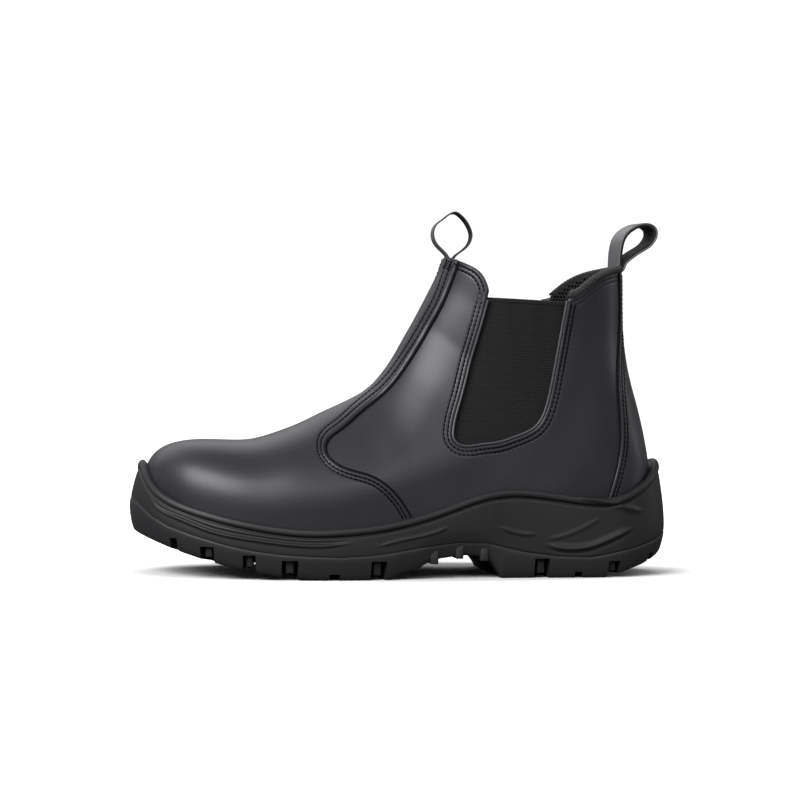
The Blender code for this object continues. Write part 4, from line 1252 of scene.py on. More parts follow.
@dataclass
class Gores:
    """The two ribbed elastic panels."""

    surface: LastSurface
    low: float = 66.2
    front_top: tuple[float, float] = (38.0, 156.6)
    back_top: tuple[float, float] = (91.0, 154.2)
    columns: int = 70
    rib_pitch: float = 1.15
    rib_steps: int = 4
    rib_height: float = 0.22
    hem: float = 2.6
    hem_height: float = 0.45
    hem_rib_share: float = 0.25
    pucker_height: float = 0.25
    margin: float = 5.5
    reach: tuple[float, float] = (15.0, 93.5)

    def build(self, finish: Material) -> None:
        """Builds both panels.

        Args:
            finish: the elastic.
        """
        notch = smooth_line(GORE_NOTCH, 300)
        lowest = int(np.argmin(notch[:, 1]))
        front = notch[: lowest + 1][::-1, ::-1]
        back = notch[lowest:, ::-1]
        half = GORE_THICKNESS / 2
        middle = -GORE_DEPTH - half
        tall = self.front_top[1] - self.low
        count = int(tall / self.rib_pitch * self.rib_steps)
        for side, name in ((-1, "gore_lateral"), (1, "gore_medial")):
            outer, inner = [], []
            for i in range(count + 1):
                share = i / count
                left, right = [], []
                z_front = self.low + (self.front_top[1] - self.low) * share
                z_back = self.low + (self.back_top[1] - self.low) * share
                x_front = max(height_on(front, z_front) - self.margin, self.reach[0])
                x_back = min(height_on(back, z_back) + self.margin, self.reach[1])
                rib = self.rib_height * math.sin(2 * math.pi * i / self.rib_steps)
                below_top = tall * (1 - share)
                hem = 0.0
                if below_top < self.hem:
                    hem = self.hem_height * float(rolled(self.hem - below_top, 0.8))
                    rib *= self.hem_rib_share
                roll = float(rolled(below_top, half))
                for j in range(self.columns + 1):
                    across = j / self.columns
                    x = x_front + (x_back - x_front) * across
                    z = z_front + (z_back - z_front) * across
                    place, normal = self.surface.at(side, x, z)
                    pucker = self.pucker_height * math.sin(x * 0.45 + z * 0.02) * share**3
                    left.append(place + normal * (middle + (half + rib * roll + hem + pucker) * roll))
                    right.append(place + normal * (middle - (half - pucker) * roll))
                outer.append(left)
                inner.append(right)
            panel = mesh_piece(f"elastic_{name}", two_faced(outer, inner), finish)
            ride(panel, Slot.ELASTIC.value, name)


@dataclass
class CollarLining:
    """Mesh lining inside the back of the collar, with its rows of small holes."""

    surface: LastSurface
    collar: Array
    low: float = 112.0
    high: float = 175.0
    columns: int = 330
    rows: int = 120
    pitch: float = 2.4
    centre: tuple[float, float] = (88.0, 0.0)
    sweep: float = 82.0
    arc: float = 42.0
    hole_radius: float = 0.72
    hole_depth: float = 1.0
    hole_spread: float = 0.30
    row_share: float = 0.86
    rise: float = 0.6
    clear: float = 1.2
    near_face: float = 2.1
    far_face: float = 3.3
    first_height: float = 168.0
    top_fade: float = 2.0
    hole_ends: tuple[float, float] = (2.2, 3.18)

    def build(self, finish: Material, shade: Material) -> None:
        """Builds the lining as a thin closed sheet, with its holes and the dark discs painted as shade inside
        them.

        Args:
            finish: material of the mesh.
            shade: material of the dark discs, painted shade in the holes.
        """
        self.build_holes(shade)
        front, back = [], []
        angles = np.radians(np.linspace(-self.sweep, self.sweep, self.columns))
        for angle in angles:
            direction = (math.cos(angle), math.sin(angle), 0.0)
            top, _ = self.surface.hit((*self.centre, self.first_height), direction)
            high = height_on(self.collar, top[0]) + self.rise
            run, rear = [], []
            for z in np.linspace(self.low, high, self.rows):
                place, normal = self.surface.hit((*self.centre, float(z)), direction)
                u = angle * self.arc / self.pitch
                v = z / self.pitch / self.row_share
                shift = 0.5 * (math.floor(v) % 2)
                hole = bump(math.hypot((u + shift) % 1 - 0.5, v % 1 - 0.5), self.hole_spread)
                edge = min(1.0, (high - z) / self.top_fade)
                run.append(place - normal * (self.far_face - self.hole_depth * hole * edge))
                rear.append(place - normal * self.near_face)
            front.append(run)
            back.append(rear)
        lining = mesh_piece("collar_mesh_lining", two_faced(front, back), finish)
        ride(lining, Slot.TEXTILE.value)

    def build_holes(self, finish: Material) -> None:
        """Dark discs that close the holes of the mesh: painted shade inside them.

        Args:
            finish: material of the discs.
        """
        forms = []
        tall = self.pitch * self.row_share
        reach = math.radians(self.sweep) * self.arc / self.pitch
        turns = np.linspace(0, 2 * np.pi, 7, endpoint=False)
        for level in range(math.ceil(self.low / tall), math.floor(self.high / tall)):
            z = (level + 0.5) * tall
            shift = 0.5 * (level % 2)
            for step in range(-int(reach), int(reach)):
                angle = (step + 0.5 - shift) * self.pitch / self.arc
                direction = Vector((math.cos(angle), math.sin(angle), 0.0))
                place, normal = self.surface.hit((*self.centre, z), direction)
                if z > height_on(self.collar, place[0]) - self.clear:
                    continue
                across = unit(np.cross(normal, (0, 0, 1)))
                up = np.cross(across, normal)
                ends = [place - normal * depth for depth in self.hole_ends]
                rings = [ring(end, across, up, self.hole_radius, turns) for end in ends]
                forms.append(closed_grid(np.array(rings)))
        ride(mesh_piece("collar_mesh_hole_painted_shade", joined(forms), finish), Slot.TEXTILE.value)


@dataclass
class Binding:
    """Rolled textile edge round the back of the collar, with a tuft at its outer end."""

    surface: LastSurface
    collar: Array
    radius: float = 2.15
    lift: float = 1.6
    steps: int = 420
    around: int = 24
    sweep: float = 104.0
    outer_end: float = 87.6
    inner_end: float = 91.5
    inward: float = 1.1
    centre: float = 88.0
    first_height: float = 160.0
    thinner: float = 0.8
    strands: int = 16
    yarn: float = 0.30

    TAPERS = (2.5, 4.0)
    # Depth, threads round the roll and turns along it.
    TWISTS = ((0.07, 3, 3.1), (0.05, 5, -3.4))
    # Swelling at the outer end: size, place and width.
    KNOT = (0.35, 2.0, 1.6)
    BLUNT_END = 0.25
    # How yarn ends spread, hang and curl, and how deep in the roll they start.
    SPREAD = 0.8
    DROOP = 0.5
    CURL = 0.3
    ROOT = 1.5
    THIN_FROM_Y = 20.0

    def path(self) -> Array:
        """The middle of the roll, at even steps along the collar.

        Returns:
            The points.
        """
        line = []
        for angle in np.radians(np.linspace(-self.sweep, self.sweep, 150)):
            direction = (math.cos(angle), math.sin(angle), 0.0)
            z = self.first_height
            for _ in range(3):
                place, normal = self.surface.hit((self.centre, 0.0, z), direction)
                z = height_on(self.collar, place[0]) + self.lift
            if place[0] > (self.outer_end if place[1] < 0 else self.inner_end):
                line.append(place - normal * self.inward)
        return evenly(np.array(line), run_length(np.array(line))[-1] / self.steps)

    def build(self, finish: Material) -> None:
        """Builds the roll and its tuft.

        Args:
            finish: the textile.
        """
        path = self.path()
        ahead = unit(np.gradient(path, axis=0))
        along = run_length(path)
        turns = np.linspace(0, 2 * np.pi, self.around, endpoint=False)
        rings = []
        for place, step, s in zip(path, ahead, along):
            across = unit(np.cross(step, (0, 0, 1)))
            up = np.cross(across, step)
            end = min(1.0, s / self.TAPERS[0], (along[-1] - s) / self.TAPERS[1])
            knot = self.KNOT[0] * float(bump(s - self.KNOT[1], self.KNOT[2]))
            far = min(max(place[1] / self.THIN_FROM_Y, 0.0), 1.0)
            blunt = self.BLUNT_END + (1 - self.BLUNT_END) * math.sqrt(end)
            radius = (self.radius - self.thinner * far) * blunt
            section = []
            for turn in turns:
                twist = sum(deep * math.sin(n * turn + s * rate) for deep, n, rate in self.TWISTS)
                section.extend(ring(place, across, up, radius * (1 + twist + knot), [turn]))
            rings.append(section)
        roll = mesh_piece("rolled_collar_binding", closed_grid(np.array(rings)), finish)
        ride(roll, Slot.TEXTILE.value, "collar_binding")
        self.build_tuft(path, finish)

    def build_tuft(self, path: Array, finish: Material) -> None:
        """Frayed yarn at the outer end of the binding.

        Args:
            path: middle of the roll.
            finish: the textile.
        """
        draw = np.random.default_rng(7)
        start = path[0]
        inward = unit(path[3] - start)
        turns = np.linspace(0, 2 * np.pi, 5, endpoint=False)
        sides = np.array([(0, 1, 0), (0, 0, 1)])
        forms = []
        for _ in range(self.strands):
            lean = draw.normal(0, self.SPREAD, 3) - inward * 0.7 - (0, 0, self.DROOP)
            middle = start + lean / 2 + draw.normal(0, self.CURL, 3)
            curl = smooth_line([start + inward * self.ROOT, middle, start + lean], 7)
            sizes = [self.yarn * (1 - 0.6 * k / len(curl)) for k in range(len(curl))]
            rings = [ring(place, *sides, size, turns) for place, size in zip(curl, sizes)]
            forms.append(closed_grid(np.array(rings)))
        ride(mesh_piece("binding_tufts", joined(forms), finish), Slot.TEXTILE.value)


# Side view lines of the pull loops.
FRONT_LOOP = (
    (26.4, 175.0), (24.7, 178.8), (23.2, 180.9), (20.3, 183.7), (17.4, 187.1), (16.0, 192.6),
    (17.4, 196.8), (21.3, 200.2), (24.4, 202.7), (28.4, 204.2), (31.5, 202.5), (34.1, 199.8),
    (36.5, 195.9), (37.7, 191.6), (36.5, 186.8), (33.2, 183.1), (28.8, 179.6),
)
BACK_LOOP = (
    (122.7, 172.6), (122.8, 178.2), (123.0, 182.3), (123.5, 186.4), (124.5, 190.2), (126.5, 193.7),
    (129.5, 196.4), (133.4, 198.5), (137.9, 199.5), (141.3, 198.9), (143.5, 197.2), (144.2, 194.5),
    (143.4, 191.6), (140.4, 187.8), (134.6, 184.1), (129.1, 180.3), (125.6, 176.7), (123.9, 173.4),
)


@dataclass
class PullLoop:
    """A strap bent into a loop, in two layers, with its tail inside the collar."""

    name: str
    node: str
    line: Line
    twist: float
    tail_low: float
    tail_high: float
    behind: bool
    thickness: float
    width: float = 20.0
    steps: int = 150
    tail_depth: float = 3.2
    tail_thickness: float = 1.4
    across: int = 13
    seam_inset: float = 2.2
    seam_depth: float = 0.10
    margin: float = 0.5
    tail_grid: tuple[int, int] = (24, 30)

    INSIDE_X = 75.0
    # Layer, place and thickness as shares of the strap's thickness, and how much narrower it is.
    LAYERS = (("leather", 0.24, 0.52, 0.0), ("webbing", -0.24, 0.50, 0.4))

    def layer(self, out: float, thickness: float, width: float) -> Array:
        """Rings of one layer's cross-section along the loop.

        Args:
            out: how far the layer lies outside the loop's line.
            thickness: of the layer.
            width: of the layer.

        Returns:
            The rings.
        """
        centre = smooth_line((*self.line, self.line[0]), self.steps)[:-1]
        ahead = unit(np.roll(centre, -1, axis=0) - np.roll(centre, 1, axis=0))
        normal = np.column_stack([ahead[:, 1], -ahead[:, 0]])
        following = np.roll(centre, -1, axis=0)
        if np.sum(centre[:, 0] * following[:, 1] - following[:, 0] * centre[:, 1]) < 0:
            normal = -normal
        half, thick = width / 2, thickness / 2
        wide = np.linspace(-half + thick, half - thick, self.across)
        profile = [(y, thick) for y in wide] + [(half, 0.0)]
        profile += [(y, -thick) for y in -wide] + [(-half, 0.0)]
        rings = []
        turn = Matrix.Rotation(self.twist, 3, "Z")
        pivot = Vector((self.line[0][0], 0, 0))
        for place, side in zip(centre, normal):
            section = []
            for y, offset in profile:
                seam = float(bump(abs(y) - (half - self.seam_inset), 0.5))
                reach = out + offset - self.seam_depth * seam * (offset > 0)
                point = Vector((place[0] + side[0] * reach, y, place[1] + side[1] * reach))
                section.append(tuple(turn @ (point - pivot) + pivot))
            rings.append(section)
        return np.array(rings)

    def build(self, surface: LastSurface, leather: Material, webbing: Material) -> None:
        """Builds the leather outside, the woven inside and the tail.

        Args:
            surface: the last.
            leather: material of the outside.
            webbing: material of the inside and the tail.
        """
        for (label, out, thick, less), finish in zip(self.LAYERS, (leather, webbing)):
            rings = self.layer(out * self.thickness, thick * self.thickness, self.width - less)
            points = rings.reshape(-1, 3)
            faces = bands(len(rings) + 1, rings.shape[1])
            faces = [tuple(i % len(points) for i in face) for face in faces]
            nodes = (self.node,) if label == "leather" else ()
            strap = mesh_piece(f"{self.name}_{label}", (points, faces), finish)
            ride(strap, Slot.LOOP.value, *nodes)
        self.build_tail(surface, webbing)

    def build_tail(self, surface: LastSurface, finish: Material) -> None:
        """The part of the strap that is sewn flat inside the collar.

        Args:
            surface: the last.
            finish: the webbing.
        """
        sign = 1.0 if self.behind else -1.0
        front, rear = [], []
        reach = self.width / 2 - self.margin
        for y in np.linspace(-reach, reach, self.tail_grid[0]):
            run, back = [], []
            for z in np.linspace(self.tail_low, self.tail_high, self.tail_grid[1]):
                place, normal = surface.hit((self.INSIDE_X, float(y), float(z)), (sign, 0, 0))
                run.append(place - normal * self.tail_depth)
                back.append(place - normal * (self.tail_depth + self.tail_thickness))
            front.append(run)
            rear.append(back)
        ride(mesh_piece(f"{self.name}_tail", two_faced(front, rear), finish), Slot.LOOP.value)


@dataclass
class Insole:
    """The footbed inside the boot, crowned at its edges."""

    surface: LastSurface
    feather: Array
    thickness: float = 4.3
    columns: int = 150
    across: int = 44
    back: float = 133.0
    toe_gap: float = 1.5
    side_gap: float = 2.7
    bed: float = 2.6
    crown: float = 0.3

    # The cupped rim and its rounded edge: height, and width as a share of the breadth.
    RIM = ((1.2, 0.10), (-1.6, 0.012))

    def build(self, finish: Material) -> None:
        """Builds the footbed as a closed sheet.

        Args:
            finish: the cloth.
        """
        top, under = [], []
        for x in np.linspace(self.feather[0, 0] + self.toe_gap, self.back, self.columns):
            z = height_on(self.feather, x) + self.thickness
            low = self.surface.hit((x, 0.0, z), (0, -1, 0))
            high = self.surface.hit((x, 0.0, z), (0, 1, 0))
            y0, y1 = low[0][1] + self.side_gap, high[0][1] - self.side_gap
            run, base = [], []
            for share in np.linspace(0, 1, self.across):
                y = y0 + (y1 - y0) * share
                rim = min(share, 1 - share)
                cup = sum(height * float(bump(rim, width)) for height, width in self.RIM)
                run.append((x, y, z + cup + self.crown))
                base.append((x, y, z - self.bed))
            top.append(run)
            under.append(base)
        ride(mesh_piece("footbed", two_faced(top, under), finish), Slot.FOOTBED.value, "insole")


# Outline of the sole from heel to toe: x, outer y, inner y, height of the wall's top, lean.
SOLE = (
    (153.4, 0.0, 0.0, 65.4, 5.0), (151.6, -10.5, 10.5, 64.8, 5.0), (147.6, -20.0, 20.0, 61.6, 4.4),
    (140.0, -29.0, 28.6, 55.6, 3.4), (131.0, -35.0, 34.2, 50.2, 2.6), (122.0, -38.6, 37.6, 46.2, 2.0),
    (115.0, -39.8, 38.7, 44.2, 1.8), (100.0, -41.2, 40.0, 44.5, 1.6), (80.0, -41.8, 39.8, 47.4, 1.6),
    (62.0, -42.4, 39.4, 49.6, 1.6), (50.0, -43.4, 39.4, 49.4, 1.6), (36.0, -45.2, 40.0, 46.6, 1.6),
    (20.0, -47.6, 41.8, 40.6, 1.6), (0.0, -51.2, 45.4, 34.4, 1.6), (-20.0, -54.4, 49.4, 30.3, 1.6),
    (-40.0, -56.4, 52.4, 28.4, 1.6), (-60.0, -56.6, 54.0, 27.6, 1.6), (-80.0, -54.8, 54.0, 29.4, 1.6),
    (-100.0, -51.4, 52.4, 33.0, 1.7), (-115.0, -46.2, 49.2, 36.6, 1.8), (-130.0, -37.6, 43.6, 41.0, 2.2),
    (-140.0, -28.8, 37.2, 45.6, 3.0), (-148.0, -16.6, 28.0, 52.4, 4.4), (-152.0, -3.4, 16.2, 60.4, 5.8),
    (-153.2, 6.4, 6.4, 63.4, 6.2),
)
GROUND = (
    (-14.0, 0.0), (-6.5, 3.6), (0.5, 5.0), (6.0, 8.4), (14.0, 11.2), (27.0, 13.0), (36.0, 12.6),
    (43.0, 10.2), (48.6, 3.4), (50.4, 0.0), (110.0, 0.0), (119.0, 2.3), (136.0, 7.2), (146.0, 11.0),
    (153.4, 15.0),
)
PARTING = (
    (-153.4, 42.4), (-149.6, 38.9), (-144.6, 33.9), (-136.0, 28.6), (-122.6, 24.0), (-105.0, 19.1),
    (-90.5, 16.2), (-76.0, 14.4), (-60.0, 13.4), (-42.0, 12.9), (-27.0, 13.7), (-15.8, 14.9),
    (4.0, 18.0), (24.0, 20.2), (42.0, 19.8), (62.0, 15.0), (82.0, 12.4), (101.6, 11.8),
    (115.0, 14.2), (128.4, 17.0), (142.5, 20.8), (153.4, 25.4),
)
TOE_BREAK = -42.0
TOE_SPRING_RADIUS = 270.0
FOOT_TUCK = 2.6
FOOT_TUCK_HEIGHT = 14.0


def ground_height(x: Array) -> Array:
    """Height of the ground face of the tread.

    Args:
        x: places to read.

    Returns:
        The heights.
    """
    x = np.asarray(x, float)
    toe = np.maximum(0.0, TOE_BREAK - x) ** 2 / (2 * TOE_SPRING_RADIUS)
    return toe + np.interp(x, *np.array(GROUND).T)


@dataclass
class SoleEdge:
    """The sole's outline as a closed loop of stations."""

    per_side: int = 260
    smoothing: int = 7
    table: Array = field(init=False)

    def __post_init__(self) -> None:
        """Reads the outline at every station."""
        rows = np.array(SOLE)
        along = run_length(rows[:, :2])
        where = np.linspace(0, along[-1], self.per_side + 1)
        x, low, high = (spline(along, rows[:, c], where) for c in range(3))
        lip, lean = (np.interp(where, along, rows[:, c]) for c in (3, 4))
        window = 2 * self.smoothing + 1
        padded = np.pad(lip, self.smoothing, mode="edge")
        soft = np.convolve(padded, np.ones(window) / window, "valid")
        self.table = np.column_stack([x, low, high, soft, lean])

    def both(self, values: Array) -> Array:
        """Values per station of one side, run round the whole loop."""
        return np.concatenate([values, values[-2:0:-1]])

    def loop(self, inset: Array) -> Array:
        """The outline moved in by inset at each station, as x and y.

        Args:
            inset: how far to move each station.

        Returns:
            The moved outline.
        """
        outer, inner = self.table[:, [0, 1]], self.table[:, [0, 2]]
        loop = np.concatenate([outer, inner[-2:0:-1]])
        ahead = unit(np.roll(loop, -1, axis=0) - np.roll(loop, 1, axis=0))
        inward = np.column_stack([ahead[:, 1], -ahead[:, 0]])
        inward *= np.sign((inward * -loop).sum(axis=1).mean())
        return loop + inward * self.both(inset)[:, None]

    def wall_inset(self, height: Array) -> Array:
        """How far the wall stands in from the outline at these heights.

        Args:
            height: one height for each station.

        Returns:
            The insets.
        """
        ground = ground_height(self.table[:, 0])
        middle = ground + FOOT_TUCK_HEIGHT
        rise = np.clip((height - middle) / (self.table[:, 3] - middle), 0, 1)
        tuck = np.clip((middle - height) / FOOT_TUCK_HEIGHT, 0, 1)
        return self.table[:, 4] * rise**1.6 + FOOT_TUCK * tuck**1.8

    def level(self, inset: Array, height: Array) -> Array:
        """One ring of the sole: the outline moved in by inset, at these heights."""
        return np.column_stack([self.loop(inset), self.both(height)])

    def edge_y(self, x: float, column: int) -> float:
        """The y of the outline at x: column 1 is the outer side and 2 the inner side."""
        order = np.argsort(self.table[:, 0])
        return float(np.interp(x, self.table[order, 0], self.table[order, column]))


@dataclass
class Midsole:
    """The moulded wall from the parting line up to the bead round the leather."""

    edge: SoleEdge
    levels: int = 66
    bead_width: float = 2.0
    bead_out: float = 1.1
    groove_depth: float = 0.9
    groove_width: float = 0.75
    groove_below: float = 2.3
    hidden_inset: float = 15.0
    overlap: float = 0.25
    foot_height: float = 0.8
    foot_inset: float = 0.5
    bead_zone: float = 5.6
    bead_levels: int = 20

    # Rings over the top of the wall: inset and drop.
    LIP = ((0.8, -0.25), (1.7, 0.1), (2.5, 0.9), (3.4, 2.0), (12.0, 3.2))
    LOW_RIDGE = (
        (-146.8, 45.6), (-143.2, 39.6), (-129.0, 32.4), (-115.1, 27.1), (-94.0, 22.7), (-75.7, 20.3),
        (-49.6, 19.3), (-35.6, 20.8),
    )
    WAIST_RIDGE = ((-22.8, 18.6), (-7.5, 22.2), (11.5, 26.4), (19.6, 29.6))
    HEEL_RIDGE = ((92.0, 46.0), (106.1, 43.5), (117.0, 40.8), (128.0, 38.0), (134.0, 36.6))
    HEEL_CRESCENT = (
        (74.9, 19.2), (82.0, 17.2), (91.6, 16.6), (100.0, 17.6), (106.2, 19.6), (117.0, 24.0), (126.8, 28.3),
    )
    HEEL_DIAGONAL = ((75.4, 21.4), (86.0, 24.0), (97.0, 28.4), (107.8, 34.2))
    SMALL_CRESCENT = ((48.2, 28.8), (55.0, 26.2), (62.0, 24.8), (69.0, 24.8))
    # Line, how far its copy is moved down, width and height. A height below nothing is a groove.
    MOULDING = (
        (LOW_RIDGE, 0.0, 0.9, 0.95), (LOW_RIDGE, -1.7, 0.9, -0.55), (WAIST_RIDGE, 0.0, 0.8, 0.6),
        (HEEL_RIDGE, 0.0, 1.5, 1.2), (HEEL_CRESCENT, 0.0, 1.6, 1.5), (HEEL_CRESCENT, 2.2, 1.2, -0.5),
        (HEEL_DIAGONAL, 0.0, 0.9, 0.5), (SMALL_CRESCENT, 0.0, 0.9, 0.7),
    )

    def ridge(self, x: Array, z: Array, line: Line, width: float, height: float) -> Array:
        """A ridge along a side view line, fading at both its ends.

        Args:
            x: places to read.
            z: their heights.
            line: the line.
            width: of the ridge.
            height: of the ridge.

        Returns:
            How far it stands out at each place.
        """
        fine = smooth_line(line, 60)
        away = distance_to(fine, x, z)
        span = fine[-1, 0] - fine[0, 0]
        share = np.clip((x - fine[0, 0]) / span, 0, 1)
        fade = np.clip(np.sin(share * np.pi) * 2.2, 0, 1)
        return height * fade * bump(away, width * (0.35 + 0.65 * fade))

    def relief(self, x: Array, z: Array, lip: Array) -> Array:
        """How far the wall's moulding stands out at places on it.

        Args:
            x: the places.
            z: their heights.
            lip: height of the wall's top at each place.

        Returns:
            The relief at each place.
        """
        below = lip - z
        bead = np.sqrt(np.maximum(0.0, 1 - ((below - self.bead_width) / self.bead_width) ** 2))
        groove = bump(below - self.groove_below * self.bead_width, self.groove_width)
        out = self.bead_out * bead - self.groove_depth * groove
        for line, drop, width, height in self.MOULDING:
            out += self.ridge(x, z + drop, line, width, height)
        return out

    def build(self, finish: Material) -> None:
        """Builds the wall, its bead and the hidden inside as one closed ring.

        Args:
            finish: the rubber.
        """
        table = self.edge.table
        x, lip = table[:, 0], table[:, 3]
        low = np.interp(x, *np.array(PARTING).T) - self.overlap
        rings = []
        lower = np.linspace(0.0, 1.0, self.levels - self.bead_levels, endpoint=False)
        heights = [low + (lip - self.bead_zone - low) * share for share in lower]
        heights += [lip - below for below in np.linspace(self.bead_zone, 0.0, self.bead_levels)]
        for height in heights:
            out = self.relief(x, height, lip)
            foot = np.clip((height - low) / self.foot_height, 0, 1)
            inset = self.edge.wall_inset(height) - out + self.foot_inset * (1 - rolled(foot, 1.0))
            rings.append(self.edge.level(inset, height))
        top = self.edge.wall_inset(lip)
        for inset, drop in self.LIP:
            rings.append(self.edge.level(top + inset, lip - drop))
        rings.append(self.edge.level(np.full(len(x), self.hidden_inset), low))
        points = np.concatenate(rings)
        faces = bands(len(rings) + 1, len(rings[0]))
        faces = [tuple(i % len(points) for i in face) for face in faces]
        ride(mesh_piece("moulded_midsole", (points, faces), finish), Slot.MIDSOLE.value, "midsole")


@dataclass
class Outsole:
    """The tread: a slab with gaps between its edge lugs, hollows with lugs, and arch bars."""

    edge: SoleEdge
    gaps: tuple[tuple[float, float, float, float], ...] = (
        (-133.0, 5.0, 6.5, 14.0), (-115.4, 8.0, 8.0, 19.0), (-92.8, 7.0, 9.0, 19.0),
        (-70.7, 9.0, 9.5, 19.0), (-45.9, 6.0, 3.4, 19.0), (-21.2, 9.0, 10.5, 19.0),
        (73.1, 8.6, 11.0, 19.0), (94.5, 4.4, 3.4, 19.0), (115.4, 7.0, 8.0, 19.0),
        (140.0, 4.0, 4.5, 9.0),
    )
    recesses: tuple[tuple[float, float, int], ...] = ((-130.0, -16.0, 5), (64.0, 122.0, 2))
    bars: tuple[float, ...] = (10.6, 25.2, 39.6)
    recess_inset: float = 17.0
    recess_depth: float = 4.5
    overcut: float = 6.0
    block_from: float = 7.0
    seam_gap: float = 0.15

    # Share of the wall's height, and how far it stands out there.
    WALL = (
        (0.0, -0.5), (0.04, -0.1), (0.12, 0.2), (0.3, 0.2), (0.5, 0.2), (0.7, 0.2), (0.88, 0.25),
        (0.96, 0.1), (1.0, -0.3),
    )
    BAR = (4.4, 7.5)
    BAR_DROP = 1.6
    BAR_SHORTER = 1.6
    LUG_LENGTH = 11.0
    LUG_WIDTH_SHARE = 0.5
    LUG_OVERLAP = 2.0
    GAP_BELOW = 4.0
    BLOCK_DEPTH = 12.0
    BLOCK_BACK = 1.4
    BLOCK_WIDTH_SHARE = 0.5
    BLOCK_HEIGHT_SHARE = 0.86
    BLOCK_OVERLAP = 1.0
    SOFT_EDGE = 0.6
    BLOCK_SOFT_EDGE = 0.5
    LUG_SOFT_EDGE = 0.7
    HOLLOW_BLUNTNESS = 0.6
    # Angles in degrees above which an edge of the tread or of its lugs stays sharp.
    SHARP_TREAD = 38
    SHARP_LUGS = 50

    def box(self, size: Sequence[float], place: Sequence[float], turn: Matrix, soften: float) -> Form:
        """A box with softened edges.

        Args:
            size: along its own axes.
            place: of its middle.
            turn: how it is turned.
            soften: width of the bevel on its edges.

        Returns:
            The form.
        """
        shape = bmesh.new()
        bmesh.ops.create_cube(shape, size=1.0)
        bmesh.ops.scale(shape, vec=Vector(size), verts=shape.verts)
        edges = list(shape.edges)
        bmesh.ops.bevel(shape, geom=edges, offset=soften, segments=2, profile=0.5, affect="EDGES")
        move = Matrix.Translation(Vector(place)) @ turn
        bmesh.ops.transform(shape, matrix=move, verts=shape.verts)
        shape.verts.index_update()
        points = np.array([v.co[:] for v in shape.verts])
        faces = [tuple(v.index for v in f.verts) for f in shape.faces]
        shape.free()
        return points, faces

    def frame(self, side: int, x: float) -> tuple[Vector, Matrix, Vector]:
        """How the sole's edge lies at one place.

        Args:
            side: -1 for the outer side of the boot, 1 for the inner.
            x: where.

        Returns:
            The place, the turn that points local +Y outward, and the outward direction.
        """
        column = 1 if side < 0 else 2
        near = 2.0
        y = self.edge.edge_y(x, column)
        slope = (self.edge.edge_y(x + near, column) - self.edge.edge_y(x - near, column)) / (2 * near)
        outward = Vector((slope, -1.0, 0.0)) if side < 0 else Vector((-slope, 1.0, 0.0))
        outward.normalize()
        turn = Matrix.Rotation(math.atan2(outward.y, outward.x) - math.pi / 2, 4, "Z")
        return Vector((x, y, float(ground_height(x)))), turn, outward

    def slab(self, finish: Material) -> bpy.types.Object:
        """The plain tread between the ground face and the parting line.

        Args:
            finish: the rubber.

        Returns:
            The linked object.
        """
        x = self.edge.table[:, 0]
        ground = ground_height(x)
        top = np.interp(x, *np.array(PARTING).T) - self.seam_gap
        rings = []
        for share, out in self.WALL:
            height = ground + (top - ground) * share
            rings.append(self.edge.level(self.edge.wall_inset(height) - out, height))
        grid = np.array(rings)
        points, faces = closed_grid(grid, caps=False)
        around = grid.shape[1]
        side = self.edge.per_side
        for base in (0, (grid.shape[0] - 1) * around):
            for i in range(side):
                corners = [base + i, base + i + 1, base + around - i - 1, base + (around - i) % around]
                faces.append(tuple(dict.fromkeys(corners)))
        return mesh_piece("rubber_tread", (points, faces), finish)

    def hollow(self, first: float, last: float) -> Form:
        """A hollow under the middle of the tread, with rounded ends.

        Args:
            first: x where it starts.
            last: x where it ends.

        Returns:
            The form to cut away.
        """
        count = 96
        rings = []
        for height in (-self.overcut, self.recess_depth):
            level = []
            for i in range(count):
                turn = 2 * math.pi * i / count
                x = (first + last) / 2 - (last - first) / 2 * math.cos(turn)
                low = self.edge.edge_y(x, 1) + self.recess_inset
                high = self.edge.edge_y(x, 2) - self.recess_inset
                reach = math.copysign(abs(math.sin(turn)) ** self.HOLLOW_BLUNTNESS, math.sin(turn))
                y = (low + high) / 2 + (high - low) / 2 * reach
                level.append((x, y, float(ground_height(x)) + height))
            rings.append(level)
        points, faces = closed_grid(np.array(rings), caps=False)
        for base in (0, count):
            for i in range(1, count // 2):
                corners = [base + i - 1, base + i, base + count - i, base + (count - i + 1) % count]
                faces.append(tuple(dict.fromkeys(corners)))
            faces.append((base + count // 2 - 1, base + count // 2, base + count // 2 + 1))
        return points, faces

    def cut(self, target: bpy.types.Object, tool: bpy.types.Object) -> None:
        """Takes a tool's forms out of the tread, and removes the tool.

        Args:
            target: the tread.
            tool: what to take away.
        """
        step = target.modifiers.new("cut", "BOOLEAN")
        step.operation = "DIFFERENCE"
        step.solver = "MANIFOLD"
        step.object = tool
        graph = bpy.context.evaluated_depsgraph_get()
        made = bpy.data.meshes.new_from_object(target.evaluated_get(graph))
        target.modifiers.clear()
        target.data = made
        bpy.data.objects.remove(tool)

